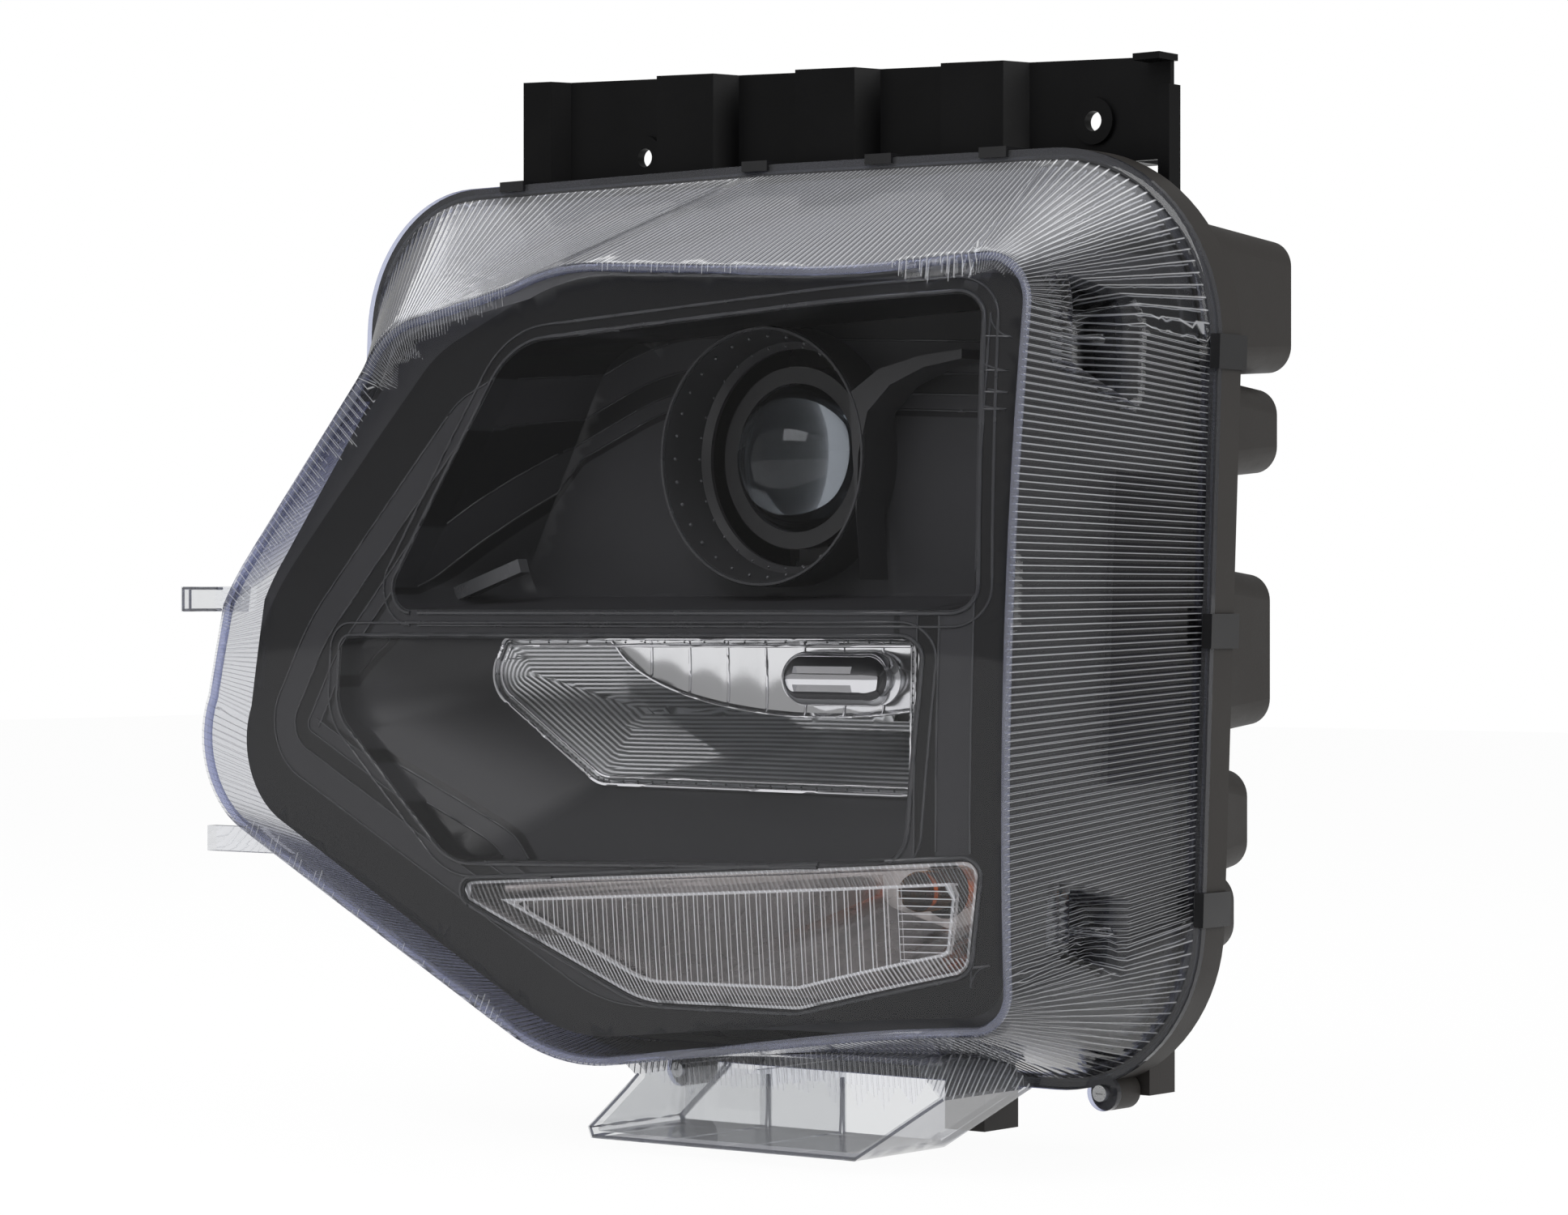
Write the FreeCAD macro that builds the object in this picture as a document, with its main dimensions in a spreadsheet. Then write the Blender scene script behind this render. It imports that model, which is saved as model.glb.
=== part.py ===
import FreeCAD, Part
import math
import os

import Sketcher

# Vehicle headlamp, right-hand nose corner seen from the front.
# +X outboard, -Y forward, +Z up, millimetres.  Inside this file every place is given in
# the lamp frame, whose Y=0 plane is the face where the lens meets the rear housing.
# place() moves each piece so that the document origin is midway between the two bolt
# holes of the top bracket.

V = FreeCAD.Vector
DOC = FreeCAD.newDocument("headlamp")

SIZES = {
    # bolt pattern of the top bracket, which is the origin of the part
    "bolt_mid_x": 22, "bolt_face_y": 31, "bolt_z": 217, "bolt_spacing": 262, "bolt_hole_r": 4.5,
    # lens shell and its front surface
    "skin_spare": 0.3, "lens_wall": 3, "loft_front_y": -172, "front_left_y": -135, "front_crest_x": 150,
    "front_crest_y": -160, "front_right_y": -110, "front_round": 120, "crown_radius": 1500,
    "recess_deep": 22, "rim_lip": 4.2, "rim_thick": 3, "tongue_deep": 9,
    # glue channel of the housing
    "channel_gap": 1.2, "channel_wall": 3, "channel_deep": 12,
    # rear housing
    "shell_wall": 3, "back_y": 62, "lobe_left_x": 140, "lobe_right_x": 206,
    "upper_lobe_y": 118, "second_lobe_y": 106, "middle_lobe_y": 100, "lower_lobe_y": 81, "foot_lobe_y": 70, "lobe_draft": 5,
    # bezel
    "bezel_wall": 2.5, "bezel_gap": 11, "bezel_flange": 2, "bezel_lip": 2, "bezel_clear": 1.5, "chamber_front_y": -122,
    "upper_back_y": -72, "lower_back_y": -85, "turn_back_y": -112,
    # projector axis and the parts along it
    "projector_x": 63, "projector_z": 66, "shroud_r": 57, "shroud_mouth_r": 48,
    "shroud_front_y": -95, "shroud_wall": 2,
    "carrier_half": 58, "carrier_thick": 5, "carrier_y": 3, "carrier_bore_r": 44,
    "flange_r": 52, "flange_thick": 3, "screw_circle_r": 48.5, "screw_r": 2,
    "screw_head_r": 3.6, "screw_head": 2.5, "screw_long": 9,
    "bowl_r": 41, "bowl_wall": 2.5, "bowl_deep": 62, "collar_r": 18,
    "barrel_r": 46, "barrel_front_r": 38.5, "barrel_wall": 2.5, "barrel_long": 52,
    "lens_seat_long": 8, "glass_r": 32.5, "glass_rim_r": 34, "glass_rim": 4, "glass_dome": 24,
    "ring_thick": 3, "ring_skirt": 1.5,
    # headlamp levelling
    "pivot_y": 12, "pivot_rise": 48, "pivot_pin_r": 3, "bush_r": 5.5, "ear_thick": 8,
    "post_gap": 4, "post_thick": 8, "post_half": 8, "tilt_lever": 98, "stud_out_x": 50,
    "ball_r": 5, "ball_gap": 0.3, "socket_r": 9, "stud_r": 3, "stud_long": 40,
    "case_r": 14, "case_long": 25, "drive_r": 5, "drive_collar_r": 8, "drive_collar": 4,
    "wheel_r": 12, "wheel_thick": 10, "run_gap": 0.3, "pin_gap": 0.05,
    # cut-off shutter and its solenoid
    "shutter_y": -20, "shutter_drop": 30, "shutter_thick": 1.2, "shutter_half": 34,
    "shutter_pin_r": 1.5, "shutter_tube_r": 3, "lever_arm": 20, "lever_half": 1.5, "lever_gap": 0.9,
    "spring_wire_r": 0.45, "spring_pitch": 1.5, "solenoid_half": 10, "solenoid_high": 16,
    "solenoid_long": 22, "plunger_r": 2.5, "plunger_head_r": 4.5, "plunger_travel": 7,
    # twist-lock joints: lugs behind a slotted plate
    "plate": 3, "lug": 3, "lug_width": 8,
    # access caps
    "neck_r": 52, "neck_wall": 3, "neck_y": 118, "cap_seat": 8,
    "low_neck_r": 37, "low_neck_y": 98, "low_cap_x": 88, "low_cap_z": -48,
    "cap_thick": 5, "cap_grip": 12, "cap_seal": 2,
    # low beam bulb
    "bulb_bore_r": 10, "bulb_glass_r": 6, "bulb_glass_long": 40, "bulb_flange_r": 15.5,
    # daytime lamp reflector and bulb
    "drl_x": 92, "drl_z": -38, "drl_back_y": -32, "reflector_wall": 2.5, "drl_bore_r": 9,
    "shield_r": 12, "shield_long": 60, "shield_y": -82, "shield_x": 97, "shield_z": -31,
    # turn signal
    "turn_x": 100, "turn_z": -126, "well_r": 24, "well_floor_y": 5, "turn_bore_r": 12,
    "turn_reflector_y": -10, "turn_glass_r": 9,
    # bracket
    "bracket_left_x": -182, "bracket_right_x": 193, "bracket_foot_z": 198,
    "bracket_top_left_z": 258, "bracket_top_right_z": 243, "sheet_thick": 3,
    "rib_start_x": -96, "rib_pitch": 84.5, "rib_wide": 41, "rib_out": 12,
    # fasteners and fittings
    "clip_wide": 15, "clip_thick": 1.5, "clip_gap": 0.3, "boss_r": 6, "lens_lug_r": 8,
    "tab_thick": 6, "connector_wide": 52, "connector_high": 30, "connector_long": 24,
    "connector_x": -84, "connector_z": -50, "vent_r": 11, "vent_long": 9,
}

# Corners (x, z, corner radius) of each outline, clockwise as seen from the front.
OUTLINES = {
    "flange": [(-256, 200, 66), (-20, 201, 300), (239, 197, 84), (225, -208, 72), (-106, -208, 90),
               (-256, -122, 60), (-262, 58, 150)],
    "front": [(-96, 112, 60), (-15, 143, 150), (228, 131, 3), (218, -167, 3), (5, -203, 110), (-254, -73, 45),
              (-204, 6, 150)],
    "back": [(-186, 160, 40), (-20, 165, 300), (200, 164, 30), (200, -156, 30), (-56, -156, 60), (-186, -90, 50),
             (-190, 50, 100)],
    "skirt": [(-243, 187, 54), (-20, 188, 300), (226, 184, 72), (212, -195, 60), (-103, -195, 78),
              (-243, -116, 48), (-248, 58, 140)],
    "bezel_front": [(-86, 104, 50), (-12, 135, 140), (221, 124, 3), (211, -160, 3), (8, -190, 100),
                    (-228, -70, 40), (-184, 2, 140)],
    "upper": [(-126, -1, 10), (-46, 117, 40), (204, 130, 10), (204, -1, 10)],
    "upper_back": [(-100, 5, 10), (-42, 119, 36), (196, 128, 10), (196, 5, 10)],
    "lower": [(-152, -14, 6), (182, -13, 8), (172, -106, 14), (-85, -114, 30), (-155, -48, 20)],
    "lower_back": [(-96, -13, 6), (142, -12, 4), (141, -82, 4), (-39, -81, 20), (-108, -36, 16)],
    "drl_step": [(-40, -15, 8), (137, -14, 6), (137, -64, 14), (20, -68, 30), (-46, -36, 14)],
    "drl_back": [(0, -18, 8), (126, -18, 8), (126, -56, 12), (40, -56, 16), (-4, -36, 8)],
    "turn": [(-96, -124, 5), (204, -104, 6), (197, -151, 8), (118, -170, 30), (28, -172, 60)],
    "turn_rear": [(64, -112, 8), (136, -112, 8), (138, -132, 8), (104, -144, 12), (66, -134, 8)],
}

# Recesses in the right wall of the lens: middle (y, z) and half sizes (along y, along z).
SIDE_RECESSES = [(-76, 112, 26, 30), (-70, -136, 26, 24)]
# Lobes of the housing's back: rear face y, lowest z and highest z.
LOBES = [("upper_lobe_y", 102, 172), ("second_lobe_y", 56, 104), ("middle_lobe_y", -58, 20),
         ("lower_lobe_y", -122, -68), ("foot_lobe_y", -158, -114)]
BEZEL_SCREWS = [(-237, 60), (213, 60), (208, -90), (-236, -70)]
LENS_SCREWS = [(180, -212), (-60, -217)]
# Side of the lens rim and place along it of each clip.
CLIPS = [("top", -165), ("top", -14), ("top", 58), ("top", 122), ("right", 110), ("right", -10),
         ("right", -130), ("left", 110)]
BRACKET_POSTS = [-118, 8, 134]
FOOT = [(-15, -190), (7, -206), (-21, -231), (-19, -236), (129, -235), (176, -206), (160, -190)]


def make_sheet():
    """Write the driving sizes into the spreadsheet, one row for each."""
    sheet = DOC.addObject("Spreadsheet::Sheet", "Sizes")
    for row, (alias, value) in enumerate(SIZES.items(), 1):
        sheet.set(f"A{row}", alias)
        sheet.set(f"B{row}", str(value))
        sheet.setAlias(f"B{row}", alias)
    DOC.recompute()
    return sheet


SHEET = make_sheet()
PIECES = []


class Size:
    """A length and the sheet expression that gives it."""

    def __init__(self, value, text):
        self.value = float(value)
        self.text = text

    def __add__(self, other):
        other = size(other)
        return Size(self.value + other.value, f"({self.text} + {other.text})")

    def __sub__(self, other):
        other = size(other)
        return Size(self.value - other.value, f"({self.text} - {other.text})")

    def __mul__(self, other):
        other = size(other)
        return Size(self.value * other.value, f"({self.text} * {other.text})")

    def __neg__(self):
        return size(0) - self

    def __radd__(self, other):
        return size(other) + self

    def __rsub__(self, other):
        return size(other) - self

    def __rmul__(self, other):
        return size(other) * self


def size(given):
    """Give a Size for a Size or for a plain number."""
    return given if isinstance(given, Size) else Size(given, f"({float(given)})")


class Named:
    """Sheet values by name: S.lens_wall carries its expression."""

    def __getattr__(self, alias):
        return Size(SHEET.get(alias), f"Sizes.{alias}")


class Read:
    """Sheet values by name as plain numbers, for shapes made by Part functions."""

    def __getattr__(self, alias):
        return float(SHEET.get(alias))


S = Named()
N = Read()


def place(item, x=0, y=0, z=0):
    """Put an object at a point of the lamp frame."""
    item.setExpression("Placement.Base.x", (size(x) - S.bolt_mid_x).text)
    item.setExpression("Placement.Base.y", (size(y) - S.bolt_face_y).text)
    item.setExpression("Placement.Base.z", (size(z) - S.bolt_z).text)


def keep(item, label, x=0, y=0, z=0):
    """Label a finished piece, place it and list it for export."""
    item.Label = label
    place(item, x, y, z)
    PIECES.append(item)
    return item


def feature(label, shape):
    """Keep a piece whose shape is made by Part functions in the lamp frame."""
    item = DOC.addObject("Part::Feature", label)
    item.Shape = shape
    return keep(item, label)


# ---- PartDesign helpers ---------------------------------------------------------------

def new_body(label, x=0, y=0, z=0):
    """Start a body at a point of the lamp frame."""
    body = DOC.addObject("PartDesign::Body", label)
    return keep(body, label, x, y, z)


def role(body, name):
    """Find an origin plane or axis of a body."""
    return [item for item in body.Origin.OriginFeatures if item.Role == name][0]


def new_sketch(body, plane, offset=0):
    """Attach a sketch to an origin plane of its body, moved along the plane's normal."""
    sketch = body.newObject("Sketcher::SketchObject", f"{body.Name}_sketch")
    sketch.AttachmentSupport = (role(body, plane), [""])
    sketch.MapMode = "FlatFace"
    sketch.setExpression("AttachmentOffset.Base.z", size(offset).text)
    return sketch


def pin_point(sketch, geo, pos, x, y):
    """Hold a sketch point at (x, y) with expressions."""
    for kind, axis, given in (("DistanceX", -2, size(x)), ("DistanceY", -1, size(y))):
        if given.value == 0:
            sketch.addConstraint(Sketcher.Constraint("PointOnObject", geo, pos, axis))
        else:
            made = sketch.addConstraint(Sketcher.Constraint(kind, -1, 1, geo, pos, given.value))
            sketch.setExpression(f"Constraints[{made}]", given.text)


def polygon(sketch, points):
    """Draw a closed outline whose corners are held by expressions."""
    places = [V(size(x).value, size(y).value, 0) for x, y in points]
    first = sketch.GeometryCount
    count = len(points)
    for index in range(count):
        line = Part.LineSegment(places[index], places[(index + 1) % count])
        sketch.addGeometry(line, False)
    for index in range(count):
        following = first + (index + 1) % count
        sketch.addConstraint(Sketcher.Constraint("Coincident", first + index, 2, following, 1))
    for index, (x, y) in enumerate(points):
        pin_point(sketch, first + index, 1, x, y)


def circle(sketch, x, y, radius):
    """Draw a circle whose centre and radius are held by expressions."""
    centre = V(size(x).value, size(y).value, 0)
    geo = sketch.addGeometry(Part.Circle(centre, V(0, 0, 1), size(radius).value), False)
    pin_point(sketch, geo, 3, x, y)
    made = sketch.addConstraint(Sketcher.Constraint("Radius", geo, size(radius).value))
    sketch.setExpression(f"Constraints[{made}]", size(radius).text)


def revolve(body, points, kind="Revolution"):
    """Turn an outline of (radius, y) points about the body's Y axis."""
    sketch = new_sketch(body, "XY_Plane")
    polygon(sketch, points)
    turned = body.newObject(f"PartDesign::{kind}", f"{body.Name}_turned")
    turned.Profile = sketch
    turned.ReferenceAxis = (sketch, ["V_Axis"])
    turned.Angle = 360
    DOC.recompute()
    return turned


def extrude(body, sketch, length, kind="Pad", back=False):
    """Pad or pocket a sketch by a length."""
    made = body.newObject(f"PartDesign::{kind}", f"{body.Name}_{kind.lower()}")
    made.Profile = sketch
    made.Reversed = back
    made.setExpression("Length", size(length).text)
    DOC.recompute()
    return made


def around(body, original, count, start=None):
    """Repeat a feature around the body's Y axis."""
    pattern = body.newObject("PartDesign::PolarPattern", f"{body.Name}_pattern")
    pattern.Originals = [original]
    pattern.Axis = (role(body, "Y_Axis"), [""])
    pattern.Angle = 360
    pattern.Occurrences = count
    body.Tip = pattern
    DOC.recompute()
    return pattern


def rectangle(sketch, x0, x1, y0, y1):
    """Draw a rectangle held by expressions."""
    polygon(sketch, [(x0, y0), (x1, y0), (x1, y1), (x0, y1)])


def block(body, x0, x1, y0, y1, z0, z1, kind="Pad"):
    """Add or cut a box given by its limits; the sketch lies on the box's front face."""
    sketch = new_sketch(body, "XZ_Plane", -size(y0))
    rectangle(sketch, x0, x1, z0, z1)
    return extrude(body, sketch, size(y1) - y0, kind, back=(kind == "Pad"))


def rod(body, x, z, radius, y0, y1, kind="Pad"):
    """Add or cut a round bar along Y between y0 and y1."""
    sketch = new_sketch(body, "XZ_Plane", -size(y0))
    circle(sketch, x, z, radius)
    return extrude(body, sketch, size(y1) - y0, kind, back=(kind == "Pad"))


# ---- Part helpers for the free-form shells --------------------------------------------

def rounded(corners, y):
    """Join corners (x, z, radius) by lines and tangent arcs in the plane at y."""
    count = len(corners)
    bends = []
    for index, (x, z, radius) in enumerate(corners):
        corner = V(x, y, z)
        before = corners[index - 1]
        after = corners[(index + 1) % count]
        to_before = (V(before[0], y, before[1]) - corner).normalize()
        to_after = (V(after[0], y, after[1]) - corner).normalize()
        half = to_before.getAngle(to_after) / 2
        inward = (to_before + to_after).normalize()
        middle = corner + inward * (radius / math.sin(half) - radius)
        reach = radius / math.tan(half)
        bends.append((corner + to_before * reach, middle, corner + to_after * reach))
    edges = []
    for index, (start, middle, end) in enumerate(bends):
        edges.append(Part.Arc(start, middle, end).toShape())
        edges.append(Part.LineSegment(end, bends[(index + 1) % count][0]).toShape())
    return Part.Wire(edges)


def outline(name, y, grow=0):
    """Give a named outline at y, grown outwards by a distance."""
    wire = rounded(OUTLINES[name], y)
    return wire.makeOffset2D(grow) if grow else wire


def prism(name, y0, y1, grow=0):
    """Extrude a named outline from y0 to y1."""
    return Part.Face(outline(name, y0, grow)).extrude(V(0, y1 - y0, 0))


def loft(sections):
    """Join (name, y, grow) sections by straight walls."""
    return Part.makeLoft([outline(*section) for section in sections], True, True)


def collar(name, y0, y1, outer, inner):
    """Ring that follows a named outline between two offsets."""
    return prism(name, y0, y1, outer).cut(prism(name, y0, y1, inner))


def bar(x, z, radius, y0, y1):
    """Round bar along Y."""
    return Part.makeCylinder(radius, y1 - y0, V(x, y0, z), V(0, 1, 0))


def box(x0, x1, y0, y1, z0, z1):
    """Box given by its limits."""
    return Part.makeBox(x1 - x0, y1 - y0, z1 - z0, V(x0, y0, z0))


def turned(points, x=0, z=0):
    """Turn (radius, y) points about Y; a point with a third and fourth value starts an arc."""
    edges = []
    for index, point in enumerate(points):
        after = points[(index + 1) % len(points)]
        start = V(x + point[0], point[1], z)
        end = V(x + after[0], after[1], z)
        if len(point) == 4:
            edges.append(Part.Arc(start, V(x + point[2], point[3], z), end).toShape())
        else:
            edges.append(Part.LineSegment(start, end).toShape())
    return Part.Face(Part.Wire(edges)).revolve(V(x, 0, z), V(0, 1, 0), 360)


def front_block(behind):
    """Everything behind the crowned front surface, moved back by a distance."""
    wide = 400
    corners = [(-wide, N.front_left_y, 0.1), (N.front_crest_x, N.front_crest_y, N.front_round),
               (2 * N.front_crest_x, N.front_right_y, 0.1), (2 * N.front_crest_x, wide, 0.1),
               (-wide, wide, 0.1)]
    wire = rounded(corners, 0)
    wire.rotate(V(0, 0, 0), V(1, 0, 0), -90)
    if behind:
        wire = wire.makeOffset2D(-behind)
    hinge = V(0, N.crown_radius, 0)
    swing = 13
    face = Part.Face(wire)
    face.rotate(hinge, V(1, 0, 0), -swing)
    return face.revolve(hinge, V(1, 0, 0), 2 * swing)


def twist_slots(x, z, bore_r, y0, y1, turn=0):
    """Cutter for the bore and three entry slots of a twist-lock plate."""
    cutter = bar(x, z, bore_r, y0, y1)
    wide = N.lug_width + 2 * N.run_gap
    for index in range(3):
        slot = box(x - wide / 2, x + wide / 2, y0, y1, z, z + bore_r + N.lug + N.run_gap)
        slot.rotate(V(x, 0, z), V(0, 1, 0), turn + 120 * index)
        cutter = cutter.fuse(slot)
    return cutter


def lugs(body, radius, y0, y1, turn_y=None):
    """Three lugs that stand out of a plug and lie behind the twist-lock plate."""
    sketch = new_sketch(body, "XZ_Plane", -size(y0))
    half = S.lug_width * 0.5
    rectangle(sketch, -half, half, radius * 0.5, radius + S.lug)
    first = extrude(body, sketch, size(y1) - y0, back=True)
    around(body, first, 3)


# ---- Lens, housing and what joins them ------------------------------------------------

def recess(x, y, z, wide, high, grow):
    """Tapered dent cut into the side wall, bigger by a distance in every way."""
    deep = N.recess_deep + grow
    outer = [V(x + 40, y + (wide + 12 + grow) * side, z + (high + 12 + grow) * up)
             for side, up in ((-1, 1), (1, 0.6), (1, -1), (-1, -0.4))]
    inner = [V(x - deep, y + (wide * 0.55 + grow) * side, z + (high * 0.6 + grow) * up)
             for side, up in ((-1, 1), (1, 0.6), (1, -1), (-1, -0.4))]
    return Part.makeLoft([Part.makePolygon(ring + ring[:1]) for ring in (outer, inner)], True, True)


def side_recesses(grow):
    """All dents of the right wall, bigger by a distance in every way."""
    side_x = OUTLINES["flange"][3][0] + N.rim_lip
    return [recess(side_x, *place_and_size, grow) for place_and_size in SIDE_RECESSES]


def lens_skin(behind):
    """Walls of the lens between rim and front, narrowed about their middle by a distance."""
    skin = loft([("flange", 0, 0), ("front", N.loft_front_y, 0)])
    if not behind:
        return skin
    size = skin.BoundBox
    narrower = FreeCAD.Matrix()
    narrowing = 2 * (behind + N.skin_spare)
    narrower.scale(1 - narrowing / size.XLength, 1, 1 - narrowing / size.ZLength)
    centre = V(size.Center.x, 0, size.Center.z)
    skin.translate(-centre)
    skin = skin.transformGeometry(narrower)
    skin.translate(centre)
    return skin


def lens_block(behind):
    """Solid of the lens's outside, or of its inside when moved in by the wall."""
    return lens_skin(behind).common(front_block(behind)).cut(side_recesses(behind))


def foot_shape():
    """Hollow clear foot under the lens, with two ribs."""
    front = -114
    deep = 64
    wire = Part.makePolygon([V(x, front, z) for x, z in FOOT + FOOT[:1]])
    hollow = Part.Face(wire.makeOffset2D(-N.lens_wall)).extrude(V(0, deep, 0))
    hollow.translate(V(0, N.lens_wall, 0))
    ribs = [box(x, x + N.lens_wall, front, front + deep, -236, -200) for x in (30, 72)]
    return Part.Face(wire).extrude(V(0, deep, 0)).cut(hollow.cut(Part.makeCompound(ribs)))


def outer_lens_shape():
    """Clear cover with its rim, glue tongue, foot, screw lugs and side tabs."""
    inside = lens_block(N.lens_wall)
    rim = collar("flange", -N.rim_thick, 0, N.rim_lip, 0.2 - N.lens_wall)
    tongue = collar("flange", 0, N.tongue_deep, 0, -N.lens_wall)
    fins = [foot_shape(), box(-276, -195, -118, -112, -2, 10), box(-258, -190, -118, -112, -116, -104)]
    fins += [Part.makeCylinder(2, 22, V(208, y, z), V(1, 0, 0)) for y, z, _w, _h in SIDE_RECESSES]
    lens_lugs = [bar(x, z, N.lens_lug_r, -N.rim_thick, 0) for x, z in LENS_SCREWS]
    clear = [fin.cut(inside) for fin in fins] + [rim, tongue]
    clear += [lug_disc.cut(inside) for lug_disc in lens_lugs]
    shape = lens_block(0).cut(inside).fuse(clear)
    holes = [bar(x, z, N.screw_r + N.pin_gap, -20, 1) for x, z in LENS_SCREWS]
    return shape.cut(holes)


def lens_seal_shape():
    """Seal that fills the bottom of the glue channel under the tongue."""
    return collar("flange", N.tongue_deep, N.channel_deep, N.channel_gap,
                  -N.lens_wall - N.channel_gap)


def lobe(y1, z0, z1, shrink):
    """One drafted lobe at the back of the housing."""
    x0 = N.lobe_left_x + shrink
    x1 = N.lobe_right_x - shrink
    sections = []
    for y, draft in ((40 if shrink == 0 else 41, 0), (y1 - shrink, N.lobe_draft)):
        corners = [(x0 + draft, z1 - draft - shrink, 12), (x1 - draft, z1 - draft - shrink, 12),
                   (x1 - draft, z0 + draft + shrink, 12), (x0 + draft, z0 + draft + shrink, 12)]
        sections.append(rounded(corners, y))
    return Part.makeLoft(sections, True, True)


def housing_block(shrink):
    """Outside of the rear shell, or its inside when shrunk by the wall."""
    front_grow = -1 - 2 * shrink
    body = loft([("flange", N.channel_deep, front_grow), ("back", N.back_y - shrink, -shrink)])
    lobes = [lobe(getattr(N, rear), low, high, shrink) for rear, low, high in LOBES]
    necks = [bar(N.projector_x, N.projector_z, N.neck_r - shrink, 50, N.neck_y - shrink),
             bar(N.low_cap_x, N.low_cap_z, N.low_neck_r - shrink, 50, N.low_neck_y - shrink)]
    return body.fuse(lobes + necks)


def pivot_posts():
    """Two posts that carry the levelling pivots."""
    inner = N.carrier_half + N.post_gap
    z = N.projector_z + N.pivot_rise
    posts = []
    for side in (-1, 1):
        near = N.projector_x + side * inner
        far = near + side * N.post_thick
        posts.append(box(min(near, far), max(near, far), N.pivot_y - N.post_half, N.back_y - 1,
                         z - N.post_half, z + N.post_half))
    return posts


def adjuster_place():
    """Place (x, z) of the levelling screw."""
    return (N.projector_x + N.stud_out_x, N.projector_z + N.pivot_rise - N.tilt_lever)


def rear_housing_shape():
    """Black shell with glue channel, lobes, access necks, posts and bosses."""
    outside = housing_block(0)
    shell = outside.cut(housing_block(N.shell_wall))
    lip = N.channel_gap + N.channel_wall
    inner = -N.lens_wall - lip
    wall_in = -N.lens_wall - N.channel_gap
    deep = N.channel_deep
    floor = collar("flange", deep, deep + N.channel_wall, lip, inner)
    walls = [collar("flange", 0, deep, lip, N.channel_gap), collar("flange", 0, deep, wall_in, inner)]
    bosses = [bar(x, z, N.boss_r, 0, N.back_y).common(outside) for x, z in BEZEL_SCREWS]
    bosses += [bar(x, z, N.boss_r, 0, 18) for x, z in BEZEL_SCREWS]
    screw_lugs = [bar(x, z, N.lens_lug_r, 0, deep + N.channel_wall) for x, z in LENS_SCREWS]
    stubs = [box(88, 110, 6, 32, -235, -196), box(176, 192, 16, 36, -214, -186)]
    posts = [Part.makeCylinder(9, N.bracket_foot_z - 168, V(x, 44, 168)) for x in BRACKET_POSTS]
    well = bar(N.turn_x, N.turn_z, N.well_r, N.well_floor_y, N.back_y)
    extras = [floor, well] + walls + bosses + screw_lugs + stubs + posts + pivot_posts()
    shell = shell.fuse(extras)
    screw_x, screw_z = adjuster_place()
    z = N.projector_z + N.pivot_rise
    cuts = [bar(N.turn_x, N.turn_z, N.well_r - N.shell_wall, N.well_floor_y + N.plate, N.back_y + 1),
            twist_slots(N.turn_x, N.turn_z, N.turn_bore_r + N.run_gap, N.well_floor_y - 1,
                        N.well_floor_y + N.plate + 1, 60),
            twist_slots(N.projector_x, N.projector_z, N.neck_r - N.cap_seat + N.run_gap,
                        N.neck_y - N.plate - 1, N.neck_y + 1, 60),
            twist_slots(N.low_cap_x, N.low_cap_z, N.low_neck_r - N.cap_seat + N.run_gap,
                        N.low_neck_y - N.plate - 1, N.low_neck_y + 1, 60),
            bar(screw_x, screw_z, N.drive_r + N.run_gap, N.back_y - 5, N.back_y + 2),
            Part.makeCylinder(N.pivot_pin_r, 400, V(N.projector_x - 200, N.pivot_y, z), V(1, 0, 0))
            .common(box(N.projector_x - 75, N.projector_x + 75, -50, 50, 0, 200))]
    cuts.append(collar("flange", -1, deep, N.channel_gap, wall_in))
    cuts += [bar(x, z, N.screw_r, -1, 12) for x, z in BEZEL_SCREWS + LENS_SCREWS]
    cuts += [Part.makeCylinder(N.screw_r, 14, V(x, 44, N.bracket_foot_z - 12)) for x in BRACKET_POSTS]
    return shell.cut(cuts)


def rim_point(side, along):
    """Point of the lens's straight rim on one side, with the way out of the lens."""
    corners = OUTLINES["flange"]
    chain, outward = {"top": ((0, 1, 2), V(0, 0, 1)), "right": ((2, 3), V(1, 0, 0)),
                      "left": ((6, 0), V(-1, 0, 0))}[side]
    axis = 0 if side == "top" else 1
    for first, second in zip(chain, chain[1:]):
        start, end = corners[first], corners[second]
        part = (along - start[axis]) / (end[axis] - start[axis])
        if 0 <= part <= 1:
            break
    run = V(end[0] - start[0], 0, end[1] - start[1])
    out = run.cross(V(0, 1, 0))
    out.normalize()
    if out.dot(outward) < 0:
        out = -out
    return start[0] + part * run.x, start[1] + part * run.z, out.x, out.z


def clip_shape(side, along):
    """Spring clip that hooks the lens rim to the channel."""
    x, z, out_x, out_z = rim_point(side, along)
    lip = N.rim_lip + N.clip_gap
    front = -N.rim_thick - N.clip_gap
    back = N.channel_deep + N.channel_wall + N.clip_gap
    thick = N.clip_thick
    half = N.clip_wide / 2
    web = box(-half, half, front - thick, back + thick, lip, lip + thick)
    arms = [box(-half, half, front - thick, front, 1.2, lip + thick),
            box(-half, half, back, back + thick, 0.8, lip + thick)]
    shape = web.fuse(arms)
    shape.rotate(V(0, 0, 0), V(0, 1, 0), math.degrees(math.atan2(out_x, out_z)))
    shape.translate(V(x, 0, z))
    return shape


# ---- Bezel and the lamps it frames ----------------------------------------------------

def bezel_block(behind, shrink):
    """Outside or inside of the bezel's skin."""
    skin = loft([("skirt", 0, -shrink), ("bezel_front", N.loft_front_y, -shrink)])
    return skin.common(front_block(behind))


def chamber(name, back_name, y_back, grow):
    """Straight mouth and tapered tunnel of one chamber."""
    mouth = prism(name, N.loft_front_y - 10, N.chamber_front_y, grow)
    tunnel = loft([(name, N.chamber_front_y, grow), (back_name, y_back, grow)])
    return mouth.fuse(tunnel)


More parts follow.
